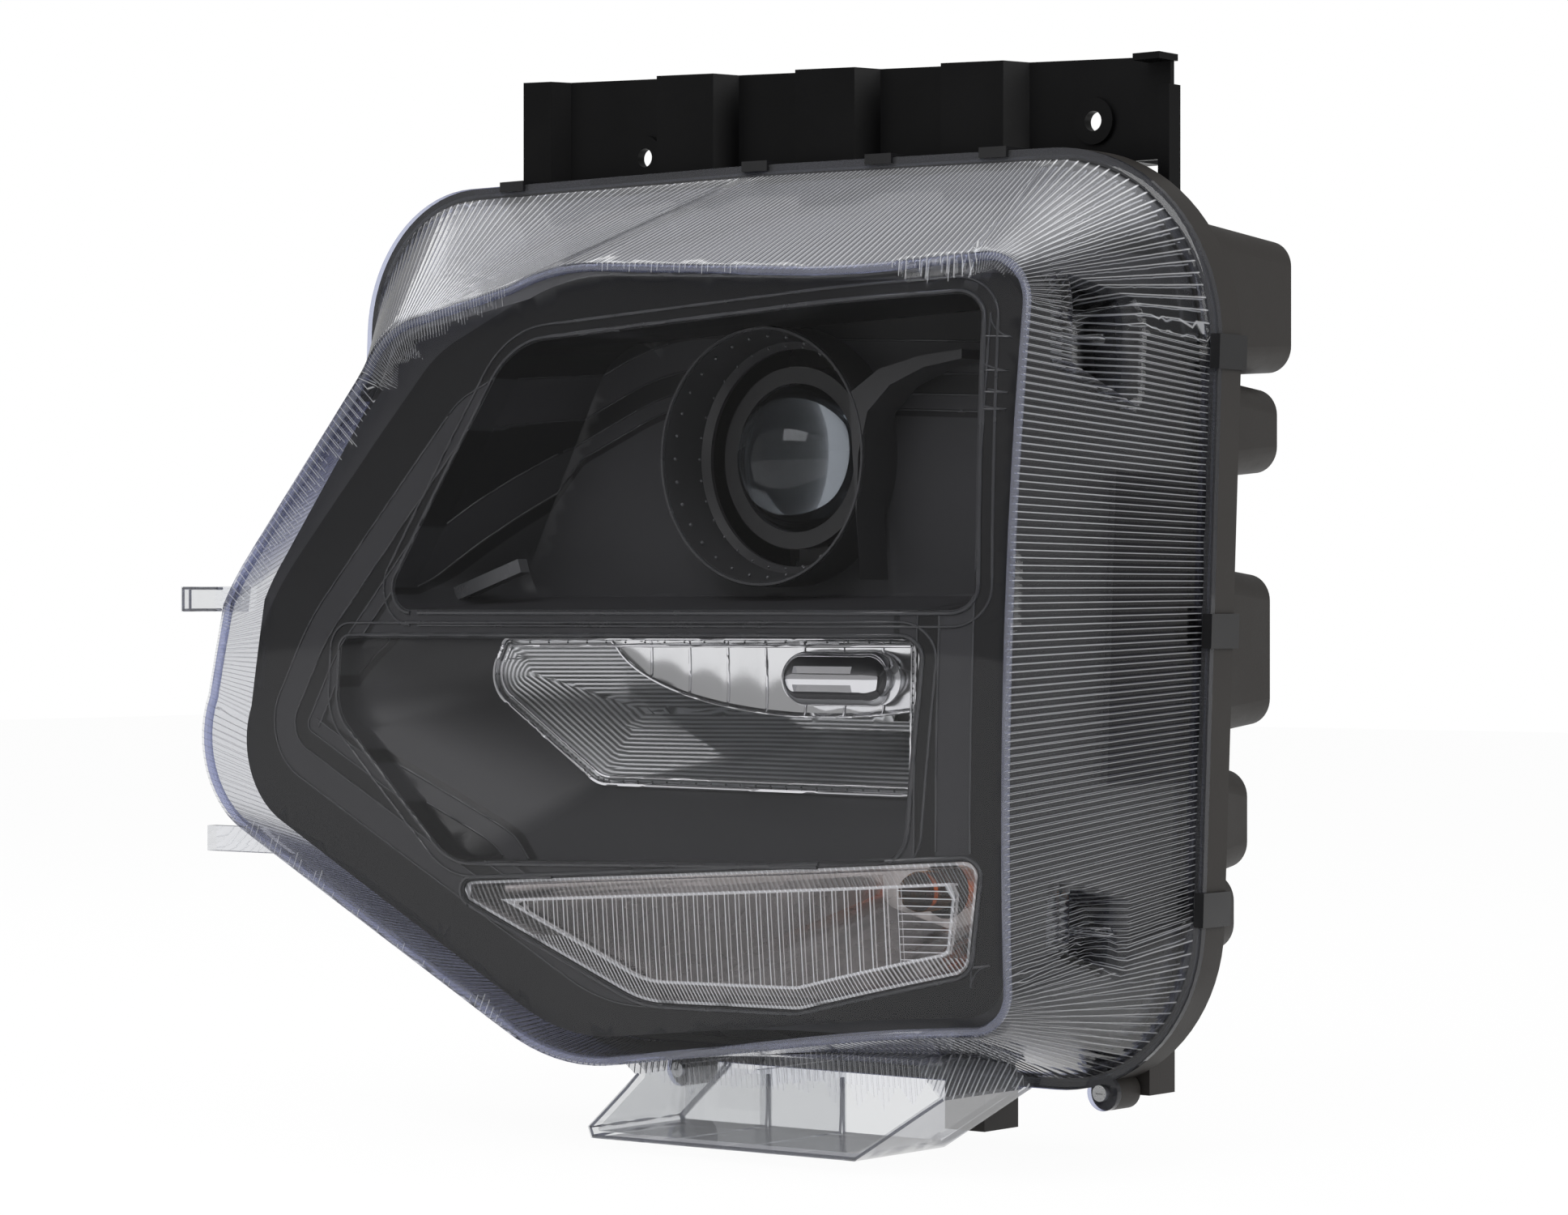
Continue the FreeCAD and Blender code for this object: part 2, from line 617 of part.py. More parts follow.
def bezel_shape():
    """Dark frame with its three windows, tunnels and flange."""
    wall = N.bezel_wall
    block_shape = bezel_block(N.bezel_gap, 0)
    skin = block_shape.cut(bezel_block(N.bezel_gap + wall, wall))
    upper = chamber("upper", "upper_back", N.upper_back_y, wall)
    lower = chamber("lower", "lower_back", N.lower_back_y, wall)
    turn = prism("turn", N.loft_front_y - 10, N.turn_back_y, wall)
    tunnels = [part.common(block_shape) for part in (upper, lower, turn)]
    back_wall = prism("upper_back", N.upper_back_y, N.upper_back_y + wall, wall)
    flange = prism("skirt", -N.bezel_flange, 0, 5)
    ears = [bar(x, z, 8, -N.bezel_flange, 0) for x, z in BEZEL_SCREWS]
    shape = skin.fuse(tunnels + [back_wall, flange] + ears)
    turn_cut = prism("turn", N.loft_front_y - 10, N.turn_back_y + 1)
    shape = shape.cut([chamber("upper", "upper_back", N.upper_back_y, 0),
                       chamber("lower", "lower_back", N.lower_back_y, 0), turn_cut,
                       prism("lower_back", N.lower_back_y - 1, N.lower_back_y + 1),
                       bar(N.projector_x, N.projector_z, N.shroud_r + N.pin_gap, N.shroud_front_y - 1,
                           N.upper_back_y + wall + 1)])
    shape = shape.cut(side_recesses(N.lens_wall + N.bezel_clear))
    hollow = prism("skirt", -N.bezel_flange - 1, 1, -wall - N.bezel_lip)
    keep_ears = Part.makeCompound(ears)
    shape = shape.cut(hollow.cut(keep_ears))
    holes = [bar(x, z, N.screw_r + N.pin_gap, -20, 1) for x, z in BEZEL_SCREWS]
    return shape.cut(holes)


def dish(sections, wall, flange, window):
    """Open reflector: walls, flange round its mouth and a bulb window in its back."""
    name, y_front, _grow = sections[0]
    last_name, y_back, _grow = sections[-1]
    outside = loft([(part, y, wall) for part, y, _g in sections[:2]])
    inside = loft([(part, y, 0) for part, y, _g in sections[:2]])
    if len(sections) > 2:
        outside = outside.fuse(loft([(part, y, wall) for part, y, _g in sections[1:]]))
        inside = inside.fuse(loft([(part, y, 0) for part, y, _g in sections[1:]]))
    back = prism(last_name, y_back, y_back + wall, wall)
    rim = prism(name, y_front, y_front + wall, flange)
    return outside.fuse([back, rim]).cut([inside, window])


def drl_reflector_shape():
    """Chrome daytime lamp reflector behind the lower window."""
    window = twist_slots(N.drl_x, N.drl_z, N.drl_bore_r + N.run_gap, N.drl_back_y - 1,
                         N.drl_back_y + 9, 60)
    sections = [("lower_back", N.lower_back_y, 0), ("drl_step", -64, 0), ("drl_back", N.drl_back_y, 0)]
    return dish(sections, N.reflector_wall, 7, window)


def bulb_shield_shape():
    """Chrome capsule with two slots that hides the daytime bulb, on its stalk."""
    radius = N.shield_r
    half = N.shield_long / 2 - radius
    x, y, z = N.shield_x, N.shield_y, N.shield_z
    shape = Part.makeCylinder(radius, 2 * half, V(x - half, y, z), V(1, 0, 0))
    for side in (-1, 1):
        shape = shape.fuse(Part.makeSphere(radius, V(x + side * half, y, z)))
    for dz in (-4, 4):
        shape = shape.cut(box(x - half, x + half - 4, y - radius - 1, y - radius + 2, z + dz - 1.5, z + dz + 1.5))
    stalk = box(x + half + 2, x + half + 8, y, N.drl_back_y, z - 4, z + 4)
    room = box(x - 40, x + half - 2, y + 4, y + 30, z - 30, z + 30)
    return shape.cut(room).fuse(stalk)


def turn_lens_shape():
    """Clear cup that fills the turn-signal window, with a flange behind the bezel."""
    gap = 0.4
    wall = N.bezel_wall
    seat = N.turn_back_y
    outside = prism("turn", N.loft_front_y - 10, seat, -gap).common(front_block(N.bezel_gap + 1))
    inside = prism("turn", N.loft_front_y - 10, seat, -gap - wall)
    inside = inside.common(front_block(N.bezel_gap + 1 + wall))
    flange = prism("turn", seat, seat + wall, wall)
    opening = prism("turn", seat - 1, seat + wall + 1, -gap - wall)
    return outside.fuse(flange).cut([inside, opening])


def turn_reflector_shape():
    """Reflector behind the turn-signal lens."""
    front = N.turn_back_y + N.bezel_wall
    window = bar(N.turn_x, N.turn_z, N.turn_bore_r + 1, N.turn_reflector_y - 20, N.turn_reflector_y + 9)
    sections = [("turn", front, 0), ("turn_rear", N.turn_reflector_y, 0)]
    return dish(sections, N.reflector_wall, N.bezel_wall + 2, window)


def shroud():
    """Stepped funnel round the projector lens."""
    body = new_body("projector_shroud", S.projector_x, 0, S.projector_z)
    back = S.upper_back_y + S.bezel_wall
    wall = S.shroud_wall
    revolve(body, [(S.shroud_r - 2, S.shroud_front_y), (S.shroud_r, S.shroud_front_y),
                   (S.shroud_r, back), (S.shroud_mouth_r, back), (S.shroud_mouth_r, back - wall),
                   (S.shroud_mouth_r + 3, back - wall - 3)])
    return body


# ---- Projector ------------------------------------------------------------------------

def holder_screw_points():
    """Places (x, z) of the four holder screws about the projector axis."""
    spots = []
    for index in range(4):
        angle = math.radians(45 + 90 * index)
        spots.append((N.projector_x + N.screw_circle_r * math.cos(angle),
                      N.projector_z + N.screw_circle_r * math.sin(angle)))
    return spots


def carrier_shape():
    """Swinging plate that carries the projector, with ears for the pivots."""
    x, z, half = N.projector_x, N.projector_z, N.carrier_half
    back = N.carrier_y
    front = back - N.carrier_thick
    corners = [(x - half, z + half, 12), (x + half, z + half, 12), (x + half, z - half, 12),
               (x - half, z - half, 12)]
    plate = Part.Face(rounded(corners, front)).extrude(V(0, N.carrier_thick, 0))
    pivot_z = z + N.pivot_rise
    ears = []
    for side in (-1, 1):
        edges = sorted((x + side * half, x + side * (half - N.ear_thick)))
        ears.append(box(edges[0], edges[1], back - 1, N.pivot_y + 8, pivot_z - 9, pivot_z + 9))
    shape = plate.fuse(ears)
    cuts = [bar(x, z, N.carrier_bore_r, front - 1, back + 30)]
    cuts += [Part.makeCylinder(N.bush_r, 2 * half + 2, V(x - half - 1, N.pivot_y, pivot_z), V(1, 0, 0))]
    cuts += [bar(sx, sz, N.screw_r, front - 1, back + 1) for sx, sz in holder_screw_points()]
    return shape.cut(cuts)


def pivot_row(radius, bore, inner, outer):
    """One bar or bush on each side, along the pivot axis."""
    z = N.projector_z + N.pivot_rise
    parts = []
    for side in (-1, 1):
        edges = sorted((N.projector_x + side * inner, N.projector_x + side * outer))
        long = edges[1] - edges[0]
        part = Part.makeCylinder(radius, long, V(edges[0], N.pivot_y, z), V(1, 0, 0))
        if bore:
            part = part.cut(Part.makeCylinder(bore, long, V(edges[0], N.pivot_y, z), V(1, 0, 0)))
        parts.append(part)
    return Part.makeCompound(parts)


def bowl_shape():
    """Ellipsoidal reflector bowl with flange, collar and slotted bulb plate."""
    wall = N.bowl_wall
    front = N.carrier_y - N.carrier_thick
    end = front + N.bowl_deep
    plate_end = end + 5
    bore = N.bulb_bore_r + N.run_gap
    points = [(N.flange_r, front - N.flange_thick), (N.flange_r, front), (N.bowl_r, front, 34, 34),
              (N.collar_r, end - 3), (N.collar_r, plate_end), (bore, plate_end),
              (bore, plate_end - N.plate), (N.collar_r - wall, plate_end - N.plate),
              (N.collar_r - wall, end - 4, 34 - wall, 32), (N.bowl_r - wall, front - N.flange_thick)]
    shape = turned(points, N.projector_x, N.projector_z)
    cuts = [twist_slots(N.projector_x, N.projector_z, bore, plate_end - N.plate - 1, plate_end + 1, 60)]
    cuts += [bar(x, z, N.screw_r, front - 9, front + 1) for x, z in holder_screw_points()]
    return shape.cut(cuts)


def barrel_shape():
    """Tapered holder between bowl and lens, with shutter ears, lever slot and solenoid saddle."""
    x, z = N.projector_x, N.projector_z
    back = N.carrier_y - N.carrier_thick - N.flange_thick
    step = back - N.flange_thick
    front = step - N.barrel_long
    seat = N.glass_rim_r + 0.4
    wall = N.barrel_wall
    points = [(N.barrel_r - wall, back), (N.flange_r, back), (N.flange_r, step), (N.barrel_r, step),
              (N.barrel_front_r, front), (N.barrel_front_r, front - N.lens_seat_long),
              (seat, front - N.lens_seat_long), (seat, front - N.lens_seat_long + N.glass_rim),
              (seat - 3.4, front - N.lens_seat_long + N.glass_rim), (seat - 3.4, front),
              (N.barrel_front_r - wall, front)]
    shape = turned(points, x, z)
    pin_z = z - N.shutter_drop
    y = N.shutter_y
    ears = [box(x - 31, x - 24, y - 4, y + 4, pin_z - 4, pin_z + 4),
            box(x + 24, x + 31, y - 4, y + 4, pin_z - 4, pin_z + 4)]
    top = z - N.barrel_r + 1
    saddle = box(x - 8, x + 8, front + 2, step - 26, top, z - N.barrel_front_r + wall)
    room = turned([(0, step + 1), (N.barrel_r - wall, step + 1), (N.barrel_front_r - wall, front),
                   (0, front)], x, z)
    shape = shape.fuse(ears + [saddle.cut(room)])
    lever_room = box(x - 3, x + 3, y - 6, step, z - N.barrel_r - 2, z - N.barrel_front_r + 6)
    cuts = [lever_room,
            Part.makeCylinder(N.shutter_pin_r + N.pin_gap, 64, V(x - 32, y, pin_z), V(1, 0, 0))]
    cuts += [bar(sx, sz, N.screw_r + N.pin_gap, step - 1, back + 1) for sx, sz in holder_screw_points()]
    cuts += [bar(sx, sz, N.screw_head_r + N.run_gap, step - N.screw_head - 1, step)
             for sx, sz in holder_screw_points()]
    return shape.cut(cuts)


def projector_lens_shape():
    """Domed glass with a flat back and a rim."""
    x, z = N.projector_x, N.projector_z
    back = barrel_front() - N.lens_seat_long + N.glass_rim
    rim = back - N.glass_rim
    tip = rim - N.glass_dome
    sphere_r = (N.glass_r ** 2 + N.glass_dome ** 2) / (2 * N.glass_dome)
    dome = Part.makeSphere(sphere_r, V(x, tip + sphere_r, z))
    dome = dome.common(bar(x, z, N.glass_r, tip - 1, rim + 1))
    return dome.fuse(bar(x, z, N.glass_rim_r, rim, back))


def barrel_front():
    """Y of the front of the barrel's taper."""
    return N.carrier_y - N.carrier_thick - 2 * N.flange_thick - N.barrel_long


def lens_ring_shape():
    """Ring that holds the glass in the barrel."""
    face = barrel_front() - N.lens_seat_long
    outer = N.barrel_front_r + N.run_gap + N.ring_skirt
    points = [(N.glass_r + 0.4, face), (N.glass_r + 0.4, face - N.ring_thick),
              (outer, face - N.ring_thick), (outer, face + 5),
              (N.barrel_front_r + N.run_gap, face + 5), (N.barrel_front_r + N.run_gap, face)]
    return turned(points, N.projector_x, N.projector_z)


def screw(x, z, head_y, long, head_r, head):
    """Pan-head screw along +Y with its head in front of head_y."""
    shape = bar(x, z, head_r, head_y - head, head_y).fuse(bar(x, z, N.screw_r - N.pin_gap, head_y, head_y + long))
    cross = box(x - head_r / 2, x + head_r / 2, head_y - head - 1, head_y - head + 1, z - 0.4, z + 0.4)
    return shape.cut(cross)


def screws(label, points, head_y, long):
    """One node of like screws, each a solid of its own."""
    group = [screw(x, z, head_y, long, N.screw_head_r, N.screw_head) for x, z in points]
    return feature(label, Part.makeCompound(group))


def shutter_shape():
    """Cut-off plate with its step, pivot tube and lever."""
    x, z, y = N.projector_x, N.projector_z, N.shutter_y
    drop = N.shutter_drop
    wide = N.shutter_half
    thick = N.shutter_thick
    corners = [(-wide, 0), (-3, 0), (3, -1.6), (wide, -1.6), (wide, -14), (24, -22), (8, -22),
               (8, -drop), (-20, -drop), (-20, -24), (-wide, -14)]
    wire = Part.makePolygon([V(x + a, y - thick / 2, z + b) for a, b in corners + corners[:1]])
    plate = Part.Face(wire).extrude(V(0, thick, 0))
    tube = Part.makeCylinder(N.shutter_tube_r, 28, V(x - 20, y, z - drop), V(1, 0, 0))
    half = N.lever_half
    lever = box(x - half, x + half, y - half, y + half, z - drop - N.lever_arm, z - drop)
    bore = Part.makeCylinder(N.shutter_pin_r + N.pin_gap, 30, V(x - 21, y, z - drop), V(1, 0, 0))
    return plate.fuse([tube, lever]).cut(bore)


def spring_shape():
    """Torsion spring coiled round the shutter pin."""
    turns = 6
    helix = Part.makeHelix(N.spring_pitch, N.spring_pitch * turns, N.shutter_pin_r + 1.1)
    start = V(N.shutter_pin_r + 1.1, 0, 0)
    section = Part.Wire(Part.makeCircle(N.spring_wire_r, start, V(0, 1, 0)))
    coil = Part.Wire(helix).makePipeShell([section], True, True)
    coil.rotate(V(0, 0, 0), V(0, 1, 0), 90)
    coil.translate(V(N.projector_x + 11, N.shutter_y, N.projector_z - N.shutter_drop))
    return Part.makeCompound([coil])


def solenoid_shape():
    """Solenoid under the barrel, with a blind bore for its plunger."""
    x, z = N.projector_x, N.projector_z
    axis_z = z - N.shutter_drop - N.lever_arm - 2
    top = z - N.barrel_r + 1
    front = barrel_front() + 2
    half = N.solenoid_half
    shape = box(x - half, x + half, front, front + N.solenoid_long, top - N.solenoid_high, top)
    return shape.cut(bar(x, axis_z, N.plunger_r + 0.2, front + 4, front + N.solenoid_long + 1))


def plunger_shape():
    """Solenoid plunger with a grooved head that holds the shutter lever."""
    x, z, y = N.projector_x, N.projector_z, N.shutter_y
    axis_z = z - N.shutter_drop - N.lever_arm - 2
    gap = N.lever_half + N.lever_gap
    shape = bar(x, axis_z, N.plunger_r, barrel_front() + 8, y - gap - 1)
    shape = shape.fuse([bar(x, axis_z, N.plunger_head_r, y - gap - 2, y - gap),
                        bar(x, axis_z, 1.2, y - gap - 1, y + gap + 1),
                        bar(x, axis_z, N.plunger_head_r, y + gap, y + gap + 1.6)])
    return shape


# ---- Bulbs and twist-lock pieces ------------------------------------------------------

def bulb_plate_y():
    """Back face of the slotted plate that holds the low beam bulb."""
    return S.carrier_y - S.carrier_thick + S.bowl_deep + 5


def twist_plug(label, x, z, bore_r, face_y, profile):
    """Body with a plug through a slotted plate, three lugs behind it and its own back."""
    body = new_body(label, x, 0, z)
    gap = S.run_gap
    tip = face_y - S.plate - gap - S.lug
    revolve(body, [(0, tip), (bore_r, tip), (bore_r, face_y + gap)] + profile)
    lugs(body, bore_r, tip, tip + S.lug)
    return body


def low_beam_base():
    """Plastic base of the low beam bulb with its plug socket."""
    face = bulb_plate_y()
    gap = S.run_gap
    rim = S.bulb_flange_r
    body = twist_plug("low_beam_base", S.projector_x, S.projector_z, S.bulb_bore_r, face,
                      [(rim, face + gap), (rim, face + 4), (11, face + 4), (11, face + 12), (0, face + 12)])
    block(body, -8, 8, face + 11, face + 21, -12, 7)
    block(body, -6, 6, face + 15, face + 22, -10, 5, "Pocket")
    return body


def glass_bulb(label, x, z, radius, base_y, long):
    """Glass envelope standing forward of its base."""
    body = new_body(label, x, 0, z)
    tip = base_y - long
    revolve(body, [(0, base_y), (0, tip), (radius * 0.45, tip + 1), (radius * 0.85, tip + 4),
                   (radius, tip + 8), (radius, base_y)])
    return body


def small_socket(label, x, z, bore_r, face_y, long):
    """Bulb socket with a winged back, twisted into a slotted plate."""
    gap = S.run_gap
    rim = bore_r + 5
    body = twist_plug(label, x, z, bore_r, face_y,
                      [(rim, face_y + gap), (rim, face_y + 4), (bore_r, face_y + 4),
                       (bore_r, face_y + long), (0, face_y + long)])
    block(body, -2, 2, face_y + long - 1, face_y + long + 8, -bore_r + 1, bore_r - 1)
    return body


def access_cap(label, x, z, bore_r, neck_r, face_y):
    """Bayonet cap with a raised grip bar."""
    gap = S.run_gap
    seat = face_y + S.cap_seal
    top = seat + S.cap_thick
    body = twist_plug(label, x, z, bore_r, face_y,
                      [(bore_r, seat), (neck_r, seat), (neck_r, top - 1), (neck_r - 1, top), (0, top)])
    block(body, -4, 4, top - gap, top + S.cap_grip, -neck_r + 9, neck_r - 9)
    notch = new_sketch(body, "XZ_Plane", -seat + 1)
    circle(notch, neck_r + 2, 0, 5)
    cut = extrude(body, notch, S.cap_thick + 2, "Pocket")
    around(body, cut, 12)
    return body


def cap_seal(label, x, z, bore_r, neck_r, face_y):
    """Flat rubber ring under an access cap."""
    body = new_body(label, x, 0, z)
    revolve(body, [(bore_r + 0.2, face_y + 0.2), (neck_r - 1, face_y + 0.2),
                   (neck_r - 1, face_y + S.cap_seal), (bore_r + 0.2, face_y + S.cap_seal)])
    return body


# ---- Levelling adjuster ---------------------------------------------------------------

def adjuster_axis():
    """Place (x, z) of the levelling screw with expressions."""
    return (S.projector_x + S.stud_out_x, S.projector_z + S.pivot_rise - S.tilt_lever)


def ball_socket_shape():
    """Socket on the carrier that snaps over the ball."""
    x, z = adjuster_place()
    ball_y = N.pivot_y
    hollow = Part.makeSphere(N.ball_r + N.ball_gap, V(x, ball_y, z))
    return bar(x, z, N.socket_r, N.carrier_y, ball_y + 4).cut([hollow, bar(x, z, N.stud_r + 0.8, ball_y, ball_y + 5)])


def ball_stud():
    """Threaded rod with a ball on its front end."""
    x, z = adjuster_axis()
    ball = DOC.addObject("Part::Sphere", "stud_ball")
    ball.setExpression("Radius", "Sizes.ball_r")
    shank = DOC.addObject("Part::Cylinder", "stud_shank")
    shank.setExpression("Radius", "Sizes.stud_r")
    shank.setExpression("Height", "Sizes.stud_long")
    shank.Placement.Rotation = FreeCAD.Rotation(V(1, 0, 0), -90)
    joined = DOC.addObject("Part::MultiFuse", "stud_joined")
    joined.Shapes = [ball, shank]
    return keep(joined, "ball_stud", x, S.pivot_y, z)


def adjuster_case():
    """Case on the inside of the rear wall that holds the drive."""
    x, z = adjuster_axis()
    body = new_body("adjuster_case", x, 0, z)
    back = S.back_y - S.shell_wall
    front = back - S.case_long
    bore = S.drive_r + S.run_gap
    cavity = S.drive_collar_r + S.run_gap
    revolve(body, [(S.stud_r + 0.6, front), (S.case_r, front), (S.case_r, back), (bore, back),
                   (bore, back - 6), (cavity, back - 6), (cavity, back - 6 - S.drive_collar - 2 * S.run_gap),
                   (bore, back - 6 - S.drive_collar - 2 * S.run_gap), (bore, front + 3), (S.stud_r + 0.6, front + 3)])
    return body


def adjuster_drive():
    """Threaded sleeve with a thumb wheel outside the housing."""
    x, z = adjuster_axis()
    body = new_body("adjuster_drive", x, 0, z)
    back = S.back_y - S.shell_wall
    gap = S.run_gap
    tip = back - S.case_long + 3 + gap
    low = back - 6 - S.drive_collar - gap
    wheel = S.back_y + 4
    end = wheel + S.wheel_thick
    bore = S.stud_r + 0.1
    revolve(body, [(bore, tip), (S.drive_r, tip), (S.drive_r, low), (S.drive_collar_r, low),
                   (S.drive_collar_r, back - 6 - gap), (S.drive_r, back - 6 - gap), (S.drive_r, wheel),
                   (S.wheel_r, wheel), (S.wheel_r, end), (0, end), (0, wheel - 4), (bore, wheel - 4)])
    notch = new_sketch(body, "XZ_Plane", -end - 1)
    circle(notch, S.wheel_r, 0, 1.2)
    cut = extrude(body, notch, S.wheel_thick + 2, "Pocket", back=True)
    around(body, cut, 16)
    return body


# ---- Bracket and fittings -------------------------------------------------------------

def bracket_path():
    """Front face of the ribbed bracket in plan, as (x, y) from left to right."""
    rear = S.bolt_face_y
    front = rear - S.rib_out
    left = S.bracket_left_x
    path = [(left, front + 4), (left + 18, front + 4), (left + 24, rear)]
    for index in range(3):
        start = S.rib_start_x + S.rib_pitch * index
        path += [(start - 3, rear), (start + 3, front), (start + S.rib_wide - 3, front),
                 (start + S.rib_wide + 3, rear)]
    path.append((S.bracket_right_x - 12, rear))
    path.append((S.bracket_right_x, rear))
    return path


def top_bracket():
    """Ribbed steel bracket over the housing with two bolt holes, foot and end hook."""
    body = new_body("top_bracket")
    thick = S.sheet_thick
    path = bracket_path()
    behind = [(x, size(y) + thick) for x, y in reversed(path)]
    wall = new_sketch(body, "XY_Plane", S.bracket_foot_z)
    polygon(wall, path + behind)
    extrude(body, wall, S.bracket_top_left_z - S.bracket_foot_z)
    left, right = S.bracket_left_x, S.bracket_right_x
    rear = S.bolt_face_y
    slope = new_sketch(body, "XZ_Plane", -rear + S.rib_out + 10)
    polygon(slope, [(left - 1, S.bracket_top_left_z), (right + 1, S.bracket_top_right_z),
                    (right + 1, S.bracket_top_left_z + 1), (left - 1, S.bracket_top_left_z + 1)])
    extrude(body, slope, S.rib_out + 60, "Pocket", back=False)
    foot_z = S.bracket_foot_z
    block(body, left, right - 20, rear + 1, rear + 24, foot_z, foot_z + thick)
    block(body, right - 6, right, rear - 1, rear + 8, foot_z - 14, S.bracket_top_right_z - 12)
    block(body, right - 12, right + 2, rear - 12, rear + 3, S.bracket_top_right_z - 2, S.bracket_top_right_z + 1)
    for side in (-0.5, 0.5):
        x = S.bolt_mid_x + S.bolt_spacing * side
        rod(body, x, S.bolt_z, S.bolt_hole_r + 6, rear - 2, rear + thick)
        rod(body, x, S.bolt_z, S.bolt_hole_r, rear - 3, rear + thick + 1, "Pocket")
    for x in BRACKET_POSTS:
        drill = new_sketch(body, "XY_Plane", foot_z - 1)
        circle(drill, x, 44, S.screw_r + S.pin_gap)
        extrude(body, drill, thick + 2, "Pocket", back=True)
    return body


def bracket_screws_shape():
    """Three screws that hold the bracket's foot to the housing."""
    top = N.bracket_foot_z + N.sheet_thick
    group = []
    for x in BRACKET_POSTS:
        head = Part.makeCylinder(4.5, 3.5, V(x, 44, top))
        group.append(head.fuse(Part.makeCylinder(N.screw_r - N.pin_gap, 12, V(x, 44, top - 12))))
    return Part.makeCompound(group)


def main_connector():
    """Plug housing on the rear wall."""
    body = new_body("main_connector", S.connector_x, 0, S.connector_z)
    wide = S.connector_wide * 0.5
    high = S.connector_high * 0.5
    back = S.back_y
    block(body, -wide - 5, wide + 5, back, back + 3, -high - 5, high + 5)
    block(body, -wide, wide, back + 2, back + S.connector_long, -high, high)
    block(body, -wide + 2, wide - 2, back + 6, back + S.connector_long + 1, -high + 2, high - 2, "Pocket")
    return body


def connector_pins_shape():
    """Flat contact blades inside the plug housing."""
    blades = []
    start = N.back_y + 6
    for column in range(5):
        for row in (-1, 1):
            x = N.connector_x + (column - 2) * 8
            z = N.connector_z + row * 6
            blades.append(box(x - 1.4, x + 1.4, start, start + N.connector_long - 10, z - 0.4, z + 0.4))
    return Part.makeCompound(blades)


def vents_shape():
    """Two breather caps on the rear wall."""
    caps = []
    for x, z in ((-120, 100), (-40, -128)):
        caps.append(turned([(0, N.back_y), (4, N.back_y), (4, N.back_y + 3), (N.vent_r, N.back_y + 3),
                            (N.vent_r, N.back_y + N.vent_long), (0, N.back_y + N.vent_long)], x, z))
    return Part.makeCompound(caps)


# ---- Assembly -------------------------------------------------------------------------

def build_shell():
    """Housing, lens, seal, clips, bracket and what is fixed to them."""
    feature("rear_housing", rear_housing_shape())
    feature("outer_lens", outer_lens_shape())
    feature("lens_seal", lens_seal_shape())
    feature("retaining_clips", Part.makeCompound([clip_shape(*clip) for clip in CLIPS]))
    top_bracket()
    feature("bracket_screws", bracket_screws_shape())
    screws("lens_screws", LENS_SCREWS, -N.rim_thick, 13)
    main_connector()
    feature("connector_pins", connector_pins_shape())
    feature("vent_caps", vents_shape())


def build_front():
    """Bezel, its shroud, the daytime lamp and the turn signal."""
    feature("bezel", bezel_shape())
    screws("bezel_screws", BEZEL_SCREWS, -N.bezel_flange, 12)
    shroud()
    feature("drl_reflector", drl_reflector_shape())
    feature("bulb_shield", bulb_shield_shape())
    feature("turn_lens", turn_lens_shape())
    feature("turn_reflector", turn_reflector_shape())
    face = S.drl_back_y + S.reflector_wall
    small_socket("drl_socket", S.drl_x, S.drl_z, S.drl_bore_r, face + 0.5, 24)
    tip = face + 0.5 - S.plate - S.run_gap - S.lug
    glass_bulb("drl_bulb", S.drl_x, S.drl_z, 6.5, tip, 28)
    face = S.well_floor_y + S.plate
    small_socket("turn_socket", S.turn_x, S.turn_z, S.turn_bore_r, face, 30)
    tip = face - S.plate - S.run_gap - S.lug
    glass_bulb("turn_bulb", S.turn_x, S.turn_z, S.turn_glass_r, tip, 40)


def build_projector():
    """Everything that tilts with the carrier, and its pivots."""
    half = N.carrier_half
    feature("carrier", carrier_shape())
    bush_in = half - N.ear_thick
    feature("pivot_bushes", pivot_row(N.bush_r - 0.02, N.pivot_pin_r + N.pin_gap, bush_in, half))
    pin_end = half + N.post_gap + N.post_thick
    feature("pivot_pins", pivot_row(N.pivot_pin_r, 0, bush_in + 1, pin_end))
    feature("reflector_bowl", bowl_shape())
    feature("lens_holder", barrel_shape())
    feature("projector_lens", projector_lens_shape())
    feature("lens_ring", lens_ring_shape())
    head_y = N.carrier_y - N.carrier_thick - 2 * N.flange_thick
    screws("holder_screws", holder_screw_points(), head_y, N.screw_long)
    feature("cutoff_shutter", shutter_shape())
    pin = Part.makeCylinder(N.shutter_pin_r, 62, V(N.projector_x - 31, N.shutter_y,
                                                   N.projector_z - N.shutter_drop), V(1, 0, 0))
    feature("shutter_pin", pin)
    feature("shutter_spring", spring_shape())
    feature("solenoid", solenoid_shape())
    feature("solenoid_plunger", plunger_shape())
    low_beam_base()
    base_tip = bulb_plate_y() - S.plate - S.run_gap - S.lug
    glass_bulb("low_beam_bulb", S.projector_x, S.projector_z, S.bulb_glass_r, base_tip,
               S.bulb_glass_long)


def build_adjuster():
    """Levelling screw between the rear wall and the carrier."""
    feature("ball_socket", ball_socket_shape())
    ball_stud()
    adjuster_case()
    adjuster_drive()


def build_caps():
    """Access caps and their seals."""
    access_cap("projector_cap", S.projector_x, S.projector_z, S.neck_r - S.cap_seat, S.neck_r, S.neck_y)
    cap_seal("projector_cap_seal", S.projector_x, S.projector_z, S.neck_r - S.cap_seat, S.neck_r, S.neck_y)
    access_cap("lower_cap", S.low_cap_x, S.low_cap_z, S.low_neck_r - S.cap_seat, S.low_neck_r, S.low_neck_y)
    cap_seal("lower_cap_seal", S.low_cap_x, S.low_cap_z, S.low_neck_r - S.cap_seat, S.low_neck_r, S.low_neck_y)


